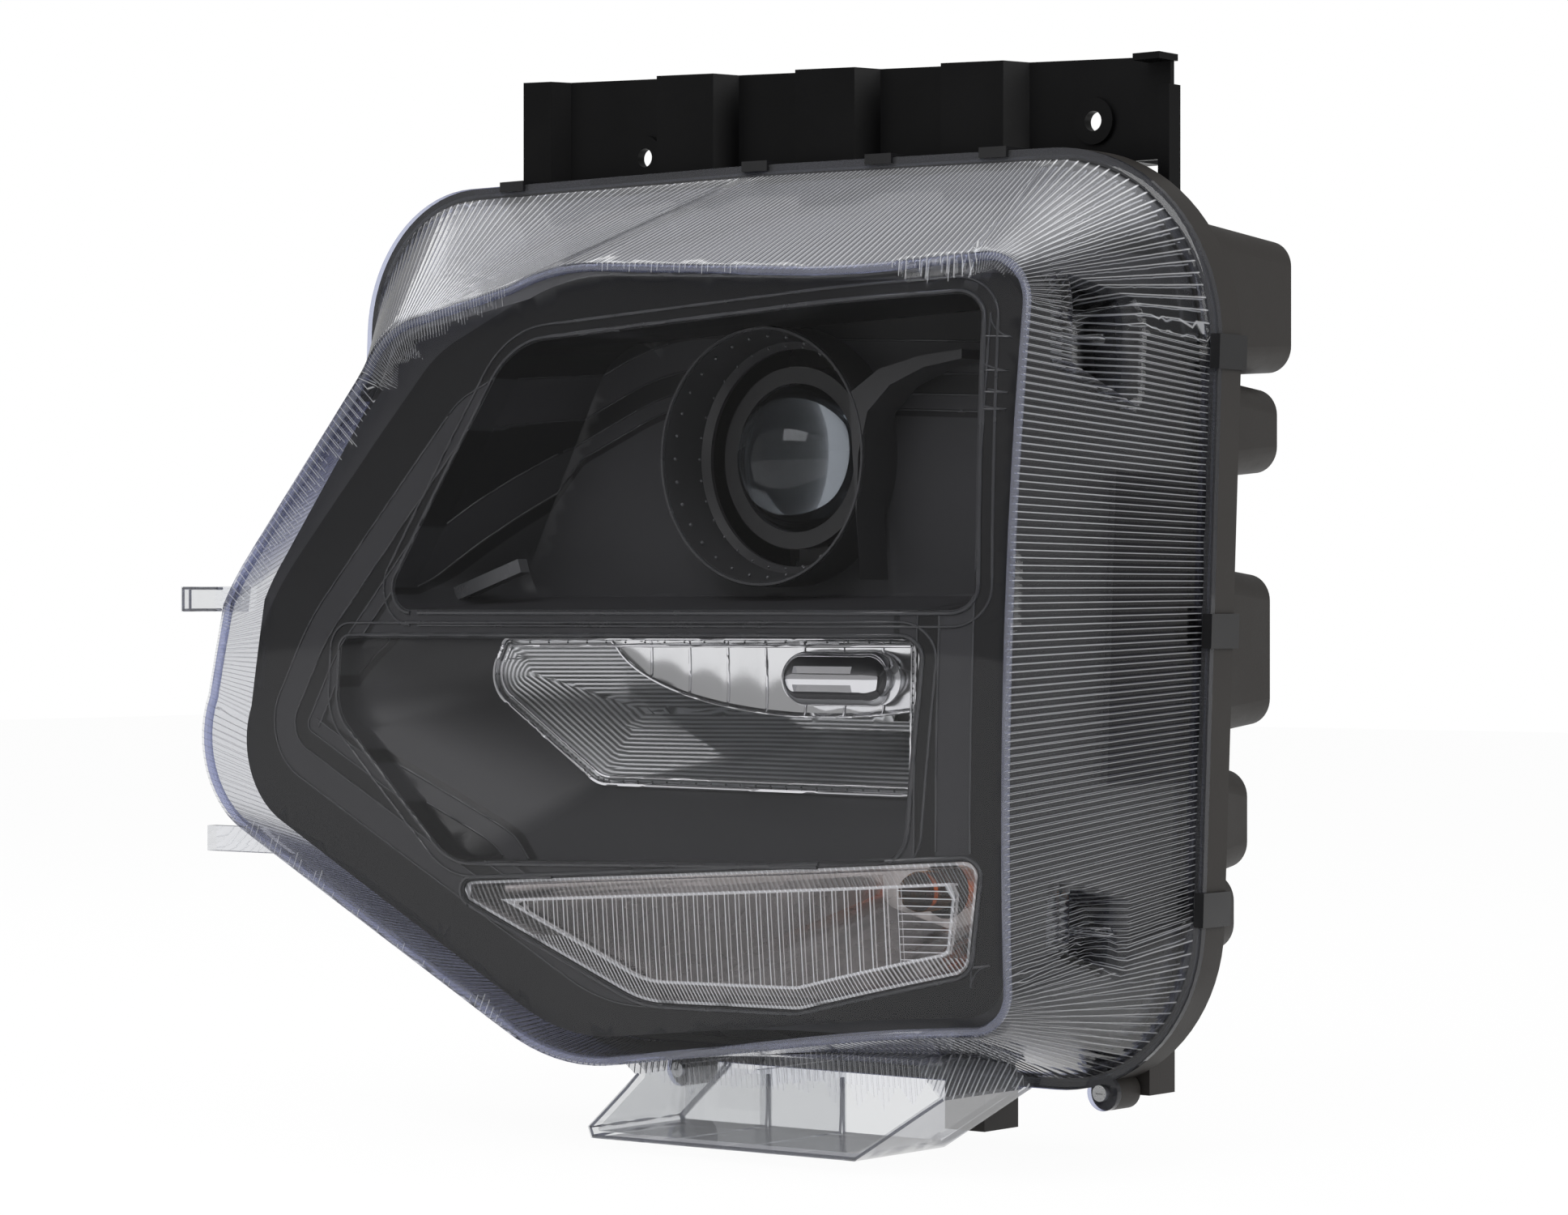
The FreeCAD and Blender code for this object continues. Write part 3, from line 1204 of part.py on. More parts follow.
def export():
    """Check every object, then write each piece to its own file."""
    DOC.recompute()
    for item in DOC.Objects:
        if "Invalid" in item.State or "Error" in item.State:
            raise RuntimeError(f"{item.Name} did not build: {item.State}")
    os.makedirs("parts", exist_ok=True)
    for item in PIECES:
        shape = item.Shape
        if shape.isNull() or not shape.isValid() or shape.Volume <= 0:
            raise RuntimeError(f"{item.Label} has no valid solid")
        shape.exportStep(os.path.join("parts", f"{item.Label}.step"))


build_shell()
build_front()
build_projector()
build_adjuster()
build_caps()
export()
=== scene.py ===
"""Look of a car headlight assembly, dressed over its construction model.

Lengths in the classes are millimetres in the lamp's own frame: +X outboard, -Y forward, +Z up, with
Y = 0 on the rim where the clear cover meets the housing. `Lamp.at` turns them into scene metres.
"""

import logging
import math
from dataclasses import dataclass
from enum import Enum
from typing import Any, Dict, List, Optional, Sequence, Tuple, Union

import bmesh
import bpy
import numpy as np
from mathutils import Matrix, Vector
from mathutils.bvhtree import BVHTree

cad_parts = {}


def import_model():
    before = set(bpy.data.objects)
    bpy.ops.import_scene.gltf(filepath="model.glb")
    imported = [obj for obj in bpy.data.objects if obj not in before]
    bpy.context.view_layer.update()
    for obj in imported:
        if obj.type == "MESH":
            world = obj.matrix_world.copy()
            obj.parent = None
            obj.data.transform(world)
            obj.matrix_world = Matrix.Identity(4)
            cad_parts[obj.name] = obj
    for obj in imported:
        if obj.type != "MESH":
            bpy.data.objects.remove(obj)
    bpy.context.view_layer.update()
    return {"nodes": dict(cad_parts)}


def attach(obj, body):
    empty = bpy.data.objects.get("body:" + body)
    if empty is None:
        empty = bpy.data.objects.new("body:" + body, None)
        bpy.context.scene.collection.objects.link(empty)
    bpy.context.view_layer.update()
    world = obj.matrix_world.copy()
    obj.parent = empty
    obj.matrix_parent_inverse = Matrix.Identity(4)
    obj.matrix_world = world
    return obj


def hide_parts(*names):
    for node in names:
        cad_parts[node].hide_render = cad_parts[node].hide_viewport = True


LOG = logging.getLogger("headlight")
Colour = Tuple[float, float, float]
Corner = Tuple[float, float, float]
Point = Tuple[float, float, float]
Number = Union[float, "Wire"]

BATCH = 2000            # points handled at once
FINE = 60               # samples on each straight of an outline that lines follow closely
RAY_START = -400.0      # depth in front of the whole lamp, in millimetres
JUMP = 6.0              # step in depth that ends a line, in millimetres
FEWEST = 3              # a stretch needs more points than this
FRONT, WALL, RIM, FOOT = range(4)    # material slots of the clear cover


# ---- Shader maths ---------------------------------------------------------------------

class Wire:
    """Shader socket that can be used in ordinary arithmetic."""

    def __init__(self, graph: "Graph", socket: bpy.types.NodeSocket) -> None:
        """Keep the socket and the graph it belongs to.

        Args:
            graph: The node graph that new nodes go into.
            socket: The output socket that holds the value.
        """
        self.graph = graph
        self.socket = socket

    def _math(self, operation: str, first: Number, second: Number = 0.0) -> "Wire":
        """Add one Math node.

        Args:
            operation: The Math node's operation.
            first: First value.
            second: Second value.

        Returns:
            The node's result.
        """
        return self.graph.node("ShaderNodeMath", {"operation": operation}, {0: first, 1: second})

    def __add__(self, other: Number) -> "Wire":
        """Sum."""
        return self._math("ADD", self, other)

    __radd__ = __add__

    def __mul__(self, other: Number) -> "Wire":
        """Product."""
        return self._math("MULTIPLY", self, other)

    __rmul__ = __mul__

    def __sub__(self, other: Number) -> "Wire":
        """Difference."""
        return self._math("SUBTRACT", self, other)

    def __rsub__(self, other: Number) -> "Wire":
        """Difference with the socket on the right."""
        return self._math("SUBTRACT", other, self)

    def __pow__(self, other: Number) -> "Wire":
        """Power."""
        return self._math("POWER", self, other)

    def over(self, edge: Number) -> "Wire":
        """1 where the value is above the edge, else 0."""
        return self._math("GREATER_THAN", self, edge)

    def most(self, other: Number) -> "Wire":
        """The larger of two values."""
        return self._math("MAXIMUM", self, other)

    def ripple(self, pitch: float) -> "Wire":
        """Triangle wave from 0 to 1 that repeats every pitch."""
        return self._math("PINGPONG", self, pitch / 2) * (2 / pitch)

    def ramp(self, low: float, high: float, start: float = 0.0, end: float = 1.0) -> "Wire":
        """Smooth step between two values.

        Args:
            low: Value where the step starts.
            high: Value where the step ends.
            start: Result at and before low.
            end: Result at and after high.

        Returns:
            The stepped value.
        """
        return self.graph.node("ShaderNodeMapRange", {"interpolation_type": "SMOOTHSTEP"},
                               {0: self, 1: low, 2: high, 3: start, 4: end})


class Graph:
    """Node graph of one material or of the world."""

    def __init__(self, owner: Union[bpy.types.Material, bpy.types.World]) -> None:
        """Start an empty graph.

        Args:
            owner: The material or world to fill.
        """
        owner.use_nodes = True
        self.tree = owner.node_tree
        self.tree.nodes.clear()
        self._place: Optional[Wire] = None

    def node(self, kind: str, settings: Optional[Dict[str, Any]] = None,
             inputs: Optional[Dict[Union[int, str], Any]] = None, output: Union[int, str] = 0) -> Wire:
        """Add any node.

        Args:
            kind: The node's type.
            settings: The node's own settings, set first.
            inputs: Socket name or number, with its value or the wire that feeds it.
            output: The output socket to return.

        Returns:
            The chosen output.
        """
        made = self.tree.nodes.new(kind)
        for name, value in (settings or {}).items():
            setattr(made, name, value)
        for key, value in (inputs or {}).items():
            socket = made.inputs[key]
            if isinstance(value, Wire):
                self.tree.links.new(value.socket, socket)
            else:
                socket.default_value = fitted(value, socket)
        return Wire(self, made.outputs[output] if len(made.outputs) else None)

    def place(self) -> Wire:
        """Point on the piece, in metres of its own frame."""
        if self._place is None:
            self._place = self.node("ShaderNodeTexCoord", output="Object")
        return self._place

    def axis(self, index: int) -> Wire:
        """One coordinate of the point, in metres."""
        return self.node("ShaderNodeSeparateXYZ", {}, {0: self.place()}, output=index)

    def mark(self, name: str) -> Wire:
        """Number stored on the mesh under a name."""
        return self.node("ShaderNodeAttribute", {"attribute_name": name}, output="Fac")

    def facing(self, index: int) -> Wire:
        """One coordinate of the surface's normal in the piece's frame."""
        normal = self.node("ShaderNodeTexCoord", output="Normal")
        return self.node("ShaderNodeSeparateXYZ", {}, {0: normal}, output=index)

    def noise(self, scale: float, detail: float = 3.0, rough: float = 0.55,
              stretch: Point = (1.0, 1.0, 1.0)) -> Wire:
        """Noise from 0 to 1.

        Args:
            scale: Lumps per metre.
            detail: Number of octaves.
            rough: Share of the fine octaves.
            stretch: Scale along each axis.

        Returns:
            The noise.
        """
        spot = self.node("ShaderNodeMapping", {}, {"Vector": self.place(), "Scale": stretch})
        return self.node("ShaderNodeTexNoise", {}, {"Vector": spot, "Scale": scale, "Detail": detail,
                                                    "Roughness": rough})

    def blend(self, share: Number, first: Union[Colour, Wire], second: Union[Colour, Wire]) -> Wire:
        """Mix two colours.

        Args:
            share: 0 for the first colour, 1 for the second.
            first: Colour or wire.
            second: Colour or wire.

        Returns:
            The mixed colour.
        """
        return self.node("ShaderNodeMix", {"data_type": "RGBA"}, {0: share, 6: first, 7: second}, output=2)

    def bump(self, height: Wire, depth: float, strength: float = 1.0) -> Wire:
        """Bumped normal.

        Args:
            height: Height from 0 to 1.
            depth: Depth of the full height in millimetres.
            strength: Share of the bump.

        Returns:
            The normal.
        """
        return self.node("ShaderNodeBump", {},
                         {"Height": height, "Distance": depth / 1000, "Strength": strength})

    def surface(self, **inputs: Any) -> Wire:
        """Principled shader; underscores in a name stand for spaces."""
        return self.node("ShaderNodeBsdfPrincipled", {},
                         {name.replace("_", " "): value for name, value in inputs.items()})

    def clear(self, tint: Union[Colour, Wire]) -> Wire:
        """Shader that lets everything through, tinted."""
        return self.node("ShaderNodeBsdfTransparent", {}, {"Color": tint})

    def mixed(self, share: Number, first: Wire, second: Wire) -> Wire:
        """Mix of two shaders, 0 for the first and 1 for the second."""
        return self.node("ShaderNodeMixShader", {}, {0: share, 1: first, 2: second})

    def slant(self) -> Wire:
        """0 where the surface is seen straight on, 1 where it is seen edge on."""
        return self.node("ShaderNodeLayerWeight", {}, {"Blend": 0.5}, output="Facing")

    def grazing(self, index: float) -> Wire:
        """Share of light that either face of a clear wall mirrors, by its index of refraction."""
        least = ((index - 1) / (index + 1)) ** 2
        return self.slant() ** 5 * (1 - least) + least

    def finish(self, shader: Wire) -> None:
        """Show a shader on the surface."""
        self.node("ShaderNodeOutputMaterial", {}, {"Surface": shader})


def fitted(value: Any, socket: bpy.types.NodeSocket) -> Any:
    """Value in the form a socket takes.

    Args:
        value: A number, a colour or a vector.
        socket: The socket it goes to.

    Returns:
        The value, with an alpha where the socket is a colour.
    """
    if socket.type == "RGBA" and len(value) == 3:
        return (*value, 1.0)
    return value


# ---- Finishes -------------------------------------------------------------------------

@dataclass(frozen=True)
class Finish:
    """A surface finish; each kind says how its shader is made."""

    name: str

    def shader(self, graph: Graph) -> Wire:
        """Make the shader.

        Args:
            graph: The material's graph.

        Returns:
            The shader to show.
        """
        raise NotImplementedError

    def material(self) -> bpy.types.Material:
        """The material of this finish, made once."""
        known = bpy.data.materials.get(self.name)
        if known is not None and known.get("dressed"):
            return known
        made = bpy.data.materials.new(self.name)
        graph = Graph(made)
        graph.finish(self.shader(graph))
        made["dressed"] = True
        return made


@dataclass(frozen=True)
class Plastic(Finish):
    """Moulded plastic with a fine grain and a slow change of gloss."""

    colour: Colour
    rough: float = 0.5
    grain: float = 0.05
    grain_scale: float = 1400.0
    mottle: float = 0.12
    sheen: float = 0.5

    def shader(self, graph: Graph) -> Wire:
        """Make the shader.

        Args:
            graph: The material's graph.

        Returns:
            The shader to show.
        """
        cloud = graph.noise(22.0, 4.0)
        fine = graph.noise(self.grain_scale, 2.0)
        low = tuple(part * (1 - self.mottle) for part in self.colour)
        high = tuple(part * (1 + self.mottle) for part in self.colour)
        rough = (cloud.ramp(0.3, 0.7, self.rough - 0.05, self.rough + 0.05) + fine * 0.04)
        return graph.surface(Base_Color=graph.blend(cloud, low, high), Roughness=rough,
                             Specular_IOR_Level=self.sheen, Normal=graph.bump(fine, self.grain))


@dataclass(frozen=True)
class Metal(Finish):
    """Plain or plated metal with faint brushing or flow lines."""

    colour: Colour
    rough: float = 0.2
    brush: Point = (1.0, 1.0, 1.0)
    scale: float = 300.0
    depth: float = 0.02

    def shader(self, graph: Graph) -> Wire:
        """Make the shader.

        Args:
            graph: The material's graph.

        Returns:
            The shader to show.
        """
        streak = graph.noise(self.scale, 3.0, 0.6, self.brush)
        cloud = graph.noise(30.0, 3.0)
        dark = tuple(part * 0.86 for part in self.colour)
        rough = streak.ramp(0.2, 0.8, self.rough * 0.75, self.rough * 1.3)
        return graph.surface(Base_Color=graph.blend(cloud, dark, self.colour), Metallic=1.0,
                             Roughness=rough, Normal=graph.bump(streak, self.depth))


@dataclass(frozen=True)
class ClearPlastic(Finish):
    """Clear moulding seen through both of its faces, darker and bluer where it is seen edge on."""

    tint: Colour = (0.93, 0.94, 0.96)
    edge_tint: Colour = (0.42, 0.44, 0.62)
    mirror: float = 0.5
    haze: float = 0.0
    rough: float = 0.03
    index: float = 1.5
    frosted: Colour = (0.86, 0.87, 0.9)
    frosted_rough: float = 0.35

    def lines(self, graph: Graph) -> Tuple[Number, Optional[Wire]]:
        """Share of frosting and its height; a plain moulding has none.

        Args:
            graph: The material's graph.

        Returns:
            The share of frosting, and the height of any flutes.
        """
        return self.haze, None

    def through(self, graph: Graph) -> Wire:
        """Tint of the light let through, darker where the wall is seen edge on."""
        return graph.blend(graph.slant().ramp(0.62, 0.97), self.tint, self.edge_tint)

    def shader(self, graph: Graph) -> Wire:
        """Make the shader.

        Args:
            graph: The material's graph.

        Returns:
            The shader to show.
        """
        veil, flutes = self.lines(graph)
        wave = graph.noise(14.0, 2.0)
        normal = graph.bump(wave, 0.25, 0.5) if flutes is None else graph.bump(flutes, 0.35, 0.7)
        shine = graph.surface(Base_Color=(self.mirror,) * 3, Metallic=1.0, Roughness=self.rough,
                              Normal=normal)
        frost = graph.surface(Base_Color=self.frosted, Roughness=self.frosted_rough, Normal=normal)
        seen = graph.mixed(veil, graph.clear(self.through(graph)), frost)
        return graph.mixed(graph.grazing(self.index), seen, shine)


@dataclass(frozen=True)
class FlutedWall(ClearPlastic):
    """Clear side wall with fine moulded flutes and one smooth window."""

    pitch: float = 3.0
    line: float = 0.26
    frost: float = 0.4
    strip: float = 0.007
    panel_y: Tuple[float, float] = (-0.098, -0.034)
    panel_z: Tuple[float, float] = (-0.292, -0.160)
    panel_x: float = 0.15
    panel_tint: Colour = (0.5, 0.5, 0.54)

    def lines(self, graph: Graph) -> Tuple[Number, Optional[Wire]]:
        """Flutes from the rim to the front edge, twice as close along the edge, with more frosting on faces
        that look up as a painted highlight of the light above.

        Args:
            graph: The material's graph.

        Returns:
            The share of frosting, and the height of any flutes.
        """
        along, edge = graph.mark("along"), graph.mark("front")
        close = 1 - edge.ramp(self.strip, self.strip + 0.0008)
        wave = along.ripple(self.pitch / 1000)
        fine = along.ripple(self.pitch / 2000)
        # Painted highlight: faces that look up get extra pale frosting for the glare of the light overhead.
        painted_top_sheen = graph.facing(2).ramp(0.5, 0.9)
        crest = wave.ramp(1 - self.line, 0.96) + fine.ramp(0.5, 1.0) * close * 0.5
        return (crest * (self.frost + painted_top_sheen * 0.45) + painted_top_sheen * 0.32 + self.haze).ramp(0.0, 1.0), wave

    def through(self, graph: Graph) -> Wire:
        """Tint of the light let through, darker over the inner panel.

        Args:
            graph: The material's graph.

        Returns:
            The tint.
        """
        y, z = graph.axis(1), graph.axis(2)
        panel = (y.over(self.panel_y[0]) * (1 - y.over(self.panel_y[1]))
                 * z.over(self.panel_z[0]) * (1 - z.over(self.panel_z[1])) * graph.axis(0).over(self.panel_x))
        return graph.blend(panel, super().through(graph), self.panel_tint)


@dataclass(frozen=True)
class SignalLens(ClearPlastic):
    """Clear inner lens with upright flutes, a smooth border and a hatched lower strip."""

    pitch: float = 6.0

    def lines(self, graph: Graph) -> Tuple[Number, Optional[Wire]]:
        """Upright flutes inside the border, level ones outboard, slanting ones along the bottom.

        Args:
            graph: The material's graph.

        Returns:
            The share of frosting, and the height of any flutes.
        """
        x, z, edge = graph.axis(0), graph.axis(2), graph.mark("edge")
        inside = edge.ramp(0.0095, 0.0105)
        border = 1 - edge.ramp(0.0014, 0.002) + edge.ramp(0.0085, 0.0092) * (1 - edge.ramp(0.0098, 0.0105))
        outboard = x.over(0.147)
        upright = x.ripple(self.pitch / 1000) * (1 - outboard) + z.ripple(0.0032) * outboard
        hatch = (x * 1.6 + z).ripple(0.0034)
        low = (1 - z.over(-0.362)) * (1 - inside)
        wavy = (x + z * 0.5).ripple(0.003) * (1 - inside) * (1 - low)
        frost = (upright.ramp(0.84, 0.96) * inside * 0.7 + hatch.ramp(0.6, 0.9) * low * 0.6
                 + border * 0.5 + wavy.ramp(0.6, 1.0) * 0.3)
        return (frost + self.haze).ramp(0.0, 1.0), upright * inside + hatch * low + wavy


@dataclass(frozen=True)
class SolidGlass(Finish):
    """Thick glass that bends light and lets lamps through."""

    tint: Colour = (0.97, 0.98, 0.98)
    index: float = 1.5
    rough: float = 0.0

    def shader(self, graph: Graph) -> Wire:
        """Make the shader.

        Args:
            graph: The material's graph.

        Returns:
            The shader to show.
        """
        glass = graph.node("ShaderNodeBsdfGlass", {}, {"Color": self.tint, "IOR": self.index,
                                                       "Roughness": self.rough,
                                                       "Normal": graph.bump(graph.noise(60.0), 0.01)})
        shadow = graph.node("ShaderNodeLightPath", output="Is Shadow Ray")
        return graph.mixed(shadow, glass, graph.clear(self.tint))


@dataclass(frozen=True)
class FrameSatin(Finish):
    """Bezel: satin inner steps with a gloss black outer band and moulded contour lines."""

    satin: Colour = (0.04, 0.04, 0.044)
    black: Colour = (0.007, 0.007, 0.008)
    steps: Tuple[Tuple[float, float], ...] = ((0.013, 0.027), (0.036, 0.043), (0.0455, 9.0))

    def shader(self, graph: Graph) -> Wire:
        """Make the shader.

        Args:
            graph: The material's graph.

        Returns:
            The shader to show.
        """
        outer = graph.mark("edge")
        grain = graph.noise(1500.0, 2.0)
        cloud = graph.noise(14.0, 2.0)
        light: Number = 0.0
        for start, end in self.steps:
            light = light + outer.ramp(start, start + 0.0005) * (1 - outer.ramp(end, end + 0.0005))
        tone = graph.blend(light * cloud.ramp(0.25, 0.75, 0.8, 1.0), self.black, self.satin)
        rough = light.ramp(0.0, 1.0, 0.36, 0.44) + grain * 0.05
        return graph.surface(Base_Color=tone, Roughness=rough, Specular_IOR_Level=0.3,
                             Normal=graph.bump(grain * light, 0.004))


@dataclass(frozen=True)
class ReflectorWall(Finish):
    """Plated reflector wall: fine ribs that follow its mouth, then a mirror-bright floor."""

    colour: Colour = (0.86, 0.87, 0.89)
    rib_pitch: float = 1.9
    ribbed: float = 0.034

    def shader(self, graph: Graph) -> Wire:
        """Make the shader.

        Args:
            graph: The material's graph.

        Returns:
            The shader to show.
        """
        edge = graph.mark("edge")
        rib = edge.ripple(self.rib_pitch / 1000)
        ribbed = 1 - edge.ramp(self.ribbed, self.ribbed + 0.001)
        dust = graph.noise(60.0, 3.0)
        # Painted shade and painted highlight: the colour runs dark in each rib's groove and bright on its
        # crest.
        dark = graph.blend(rib.ramp(0.2, 0.8), (0.3, 0.305, 0.31), (0.85, 0.86, 0.88))
        rough = ribbed * 0.34 + dust * 0.04 + 0.04
        return graph.surface(Base_Color=graph.blend(ribbed, self.colour, dark), Metallic=1.0,
                             Roughness=rough, Normal=graph.bump(rib * ribbed, 0.25))


@dataclass(frozen=True)
class SignalBack(Finish):
    """Plated signal reflector with painted amber patches that stand for the reflection of its bulb."""

    colour: Colour = (0.78, 0.78, 0.79)
    # Colour of the painted reflection of the amber bulb.
    amber: Colour = (0.85, 0.3, 0.08)
    pitch: float = 14.0

    def shader(self, graph: Graph) -> Wire:
        """Make the shader.

        Args:
            graph: The material's graph.

        Returns:
            The shader to show.
        """
        x, z = graph.axis(0), graph.axis(2)
        rib = x.ripple(self.pitch / 1000)
        patch = graph.noise(45.0, 2.0)
        # Painted reflection: amber patches outboard and a band near the bulb stand in for the bulb mirrored
        # in the plating.
        painted_amber_reflection = x.ramp(0.085, 0.12) * patch.ramp(0.48, 0.62)
        near = painted_amber_reflection + x.ramp(0.06, 0.09) * z.ramp(-0.335, -0.325) * 0.5
        tone = graph.blend(near, self.colour, self.amber)
        return graph.surface(Base_Color=tone, Metallic=1.0, Roughness=patch.ramp(0.3, 0.7, 0.2, 0.3),
                             Normal=graph.bump(rib, 0.3))


@dataclass(frozen=True)
class Backdrop(Finish):
    """Pale studio surface that looks plain white to the eye and keeps the shadow."""

    shade: float = 0.8
    white_share: float = 0.93

    def shader(self, graph: Graph) -> Wire:
        """Make the shader.

        Args:
            graph: The material's graph.

        Returns:
            The shader to show.
        """
        white = graph.node("ShaderNodeEmission", {}, {"Color": (1.0, 1.0, 1.0), "Strength": 1.03})
        plain = graph.surface(Base_Color=(self.shade,) * 3, Roughness=0.7)
        eye = graph.node("ShaderNodeLightPath", output="Is Camera Ray")
        for name in ("Is Glossy Ray", "Is Transmission Ray"):
            eye = eye.most(graph.node("ShaderNodeLightPath", output=name))
        return graph.mixed(eye * self.white_share, plain, white)


class Look(Enum):
    """Every finish of the lamp."""

    HOUSING = Plastic("housing_grain", (0.03, 0.027, 0.0245), 0.52, 0.06, 900.0, 0.12, 0.35)
    RUBBER = Plastic("seal_rubber", (0.012, 0.012, 0.012), 0.7, 0.08, 700.0)
    CLIP = Plastic("clip_black", (0.012, 0.012, 0.013), 0.3, 0.02)
    BRACKET = Plastic("bracket_black", (0.0035, 0.0035, 0.0038), 0.36, 0.03, 1100.0, 0.2, 0.14)
    BLACK = Plastic("fitting_black", (0.018, 0.018, 0.019), 0.42, 0.03)
    NYLON = Plastic("natural_nylon", (0.62, 0.6, 0.54), 0.45, 0.03)
    BEZEL = FrameSatin("bezel_satin")
    SHROUD = Plastic("shroud_satin", (0.036, 0.036, 0.038), 0.34, 0.03)
    COVER = ClearPlastic("cover_clear", (0.975, 0.975, 0.98), mirror=0.28)
    WALL = FlutedWall("cover_fluted_wall", (0.88, 0.885, 0.9), haze=0.02, mirror=0.6, rough=0.08)
    RIM = ClearPlastic("cover_rim", (0.74, 0.76, 0.86), haze=0.05, mirror=0.8)
    EDGE = ClearPlastic("cover_edge", (0.62, 0.65, 0.82), (0.36, 0.39, 0.58), haze=0.16, mirror=0.8)
    FOOT = ClearPlastic("cover_foot", (0.9, 0.905, 0.91), (0.42, 0.43, 0.47), haze=0.07, mirror=0.7)
    RIB = ClearPlastic("foot_rib", (0.35, 0.36, 0.42), haze=0.1)
    SIGNAL = SignalLens("signal_clear", (0.93, 0.91, 0.9), haze=0.04, mirror=0.6, rough=0.06)
    # Painted shade: the optic's clear glass is tinted grey so that it looks shaded.
    OPTIC = SolidGlass("optic_glass", (0.66, 0.68, 0.7))
    BULB = SolidGlass("bulb_glass", (0.98, 0.98, 0.98), 1.45)
    AMBER = SolidGlass("amber_glass", (0.95, 0.42, 0.08), 1.45)
    CHROME = Metal("bulb_shield_chrome", (0.9, 0.9, 0.92), 0.05, scale=60.0, depth=0.01)
    REFLECTOR = Metal("reflector_chrome", (0.94, 0.945, 0.95), 0.12, scale=40.0, depth=0.02)
    FLUTED = ReflectorWall("reflector_fluted")
    SIGNAL_BACK = SignalBack("signal_reflector")
    BEZEL_LINE = Plastic("bezel_line", (0.05, 0.051, 0.055), 0.22, 0.01)
    BEZEL_BAR = Plastic("bezel_bar", (0.1, 0.102, 0.108), 0.25, 0.01)
    DARK_CAST = Plastic("lens_holder_black", (0.02, 0.02, 0.021), 0.35, 0.02)
    CAST = Metal("cast_aluminium", (0.5, 0.5, 0.51), 0.42, scale=500.0, depth=0.05)
    BOWL = Metal("bowl_aluminium", (0.85, 0.85, 0.86), 0.08, scale=90.0)
    STEEL = Metal("screw_steel", (0.6, 0.6, 0.6), 0.3, (1.0, 8.0, 1.0), 700.0)
    ZINC = Metal("zinc_steel", (0.64, 0.63, 0.6), 0.28, (8.0, 1.0, 1.0), 500.0)
    BRASS = Metal("contact_brass", (0.78, 0.6, 0.28), 0.22)


# ---- Mesh helpers ---------------------------------------------------------------------

@dataclass(frozen=True)
class Lamp:
    """The lamp's own frame and where its datum lies."""

    datum: Point = (22.0, 31.0, 217.0)

    def at(self, x: float, y: float, z: float) -> Vector:
        """Scene point, in metres, of a point of the lamp's frame in millimetres."""
        return Vector(((x - self.datum[0]) / 1000, (y - self.datum[1]) / 1000, (z - self.datum[2]) / 1000))

    def back(self, points: np.ndarray) -> np.ndarray:
        """Millimetres in the lamp's frame of scene points in metres."""
        return points * 1000 + np.array(self.datum)


LAMP = Lamp()


def rounded(corners: Sequence[Corner], line_steps: int = 24, arc_steps: int = 12) -> np.ndarray:
    """Closed outline with rounded corners, as matched samples.

    Args:
        corners: Corner x, z and radius, clockwise.
        line_steps: Samples on each straight.
        arc_steps: Samples on each bend.

    Returns:
        Array of x, z samples in order.
    """
    count = len(corners)
    bends = []
    for index in range(count):
        here = np.array(corners[index][:2], float)
        to_last = np.array(corners[index - 1][:2], float) - here
        to_next = np.array(corners[(index + 1) % count][:2], float) - here
        to_last /= np.linalg.norm(to_last)
        to_next /= np.linalg.norm(to_next)
        half = math.acos(max(-1.0, min(1.0, float(to_last @ to_next)))) / 2
        reach = corners[index][2] / math.tan(half)
        middle = (to_last + to_next) / np.linalg.norm(to_last + to_next)
        centre = here + middle * corners[index][2] / math.sin(half)
        start, end = here + to_last * reach, here + to_next * reach
        first, second = start - centre, end - centre
        angle = math.atan2(first[0] * second[1] - first[1] * second[0], float(first @ second))
        arc = []
        for step in range(arc_steps + 1):
            turn = angle * step / arc_steps
            cos, sin = math.cos(turn), math.sin(turn)
            arc.append(centre + np.array((first[0] * cos - first[1] * sin, first[0] * sin + first[1] * cos)))
        bends.append(arc)
    points: List[np.ndarray] = []
    for index, arc in enumerate(bends):
        points += arc
        after = bends[(index + 1) % count][0]
        points += [arc[-1] + (after - arc[-1]) * step / line_steps for step in range(1, line_steps)]
    return np.array(points)


def offset(points: np.ndarray, by: float) -> np.ndarray:
    """Closed outline moved outward.

    Args:
        points: x, z samples, clockwise.
        by: Distance; negative moves inward.

    Returns:
        The moved samples.
    """
    run = np.roll(points, -1, 0) - np.roll(points, 1, 0)
    length = np.maximum(np.linalg.norm(run, axis=1, keepdims=True), 1e-9)
    out = np.stack((-run[:, 1], run[:, 0]), 1) / length
    centre = points.mean(0)
    if ((points - centre) * out).sum() < 0:
        out = -out
    return points + out * by


def make_piece(name: str, verts: Sequence[Sequence[float]], faces: Sequence[Sequence[int]],
               looks: Sequence[Look], body: str = "lamp", sharp: float = 30.0) -> bpy.types.Object:
    """Make a piece of the lamp from points and faces.

    Args:
        name: The piece's name.
        verts: Points in metres.
        faces: Point numbers of each face.
        looks: Finishes of its material slots.
        body: The body it rides on.
        sharp: Angle in degrees above which an edge stays sharp.

    Returns:
        The piece.
    """
    mesh = bpy.data.meshes.new(name)
    mesh.from_pydata([tuple(vert) for vert in verts], [], [tuple(face) for face in faces])
    piece = put(mesh, name, looks, sharp, body)
    LOG.info("made %s on %s", name, body)
    return piece


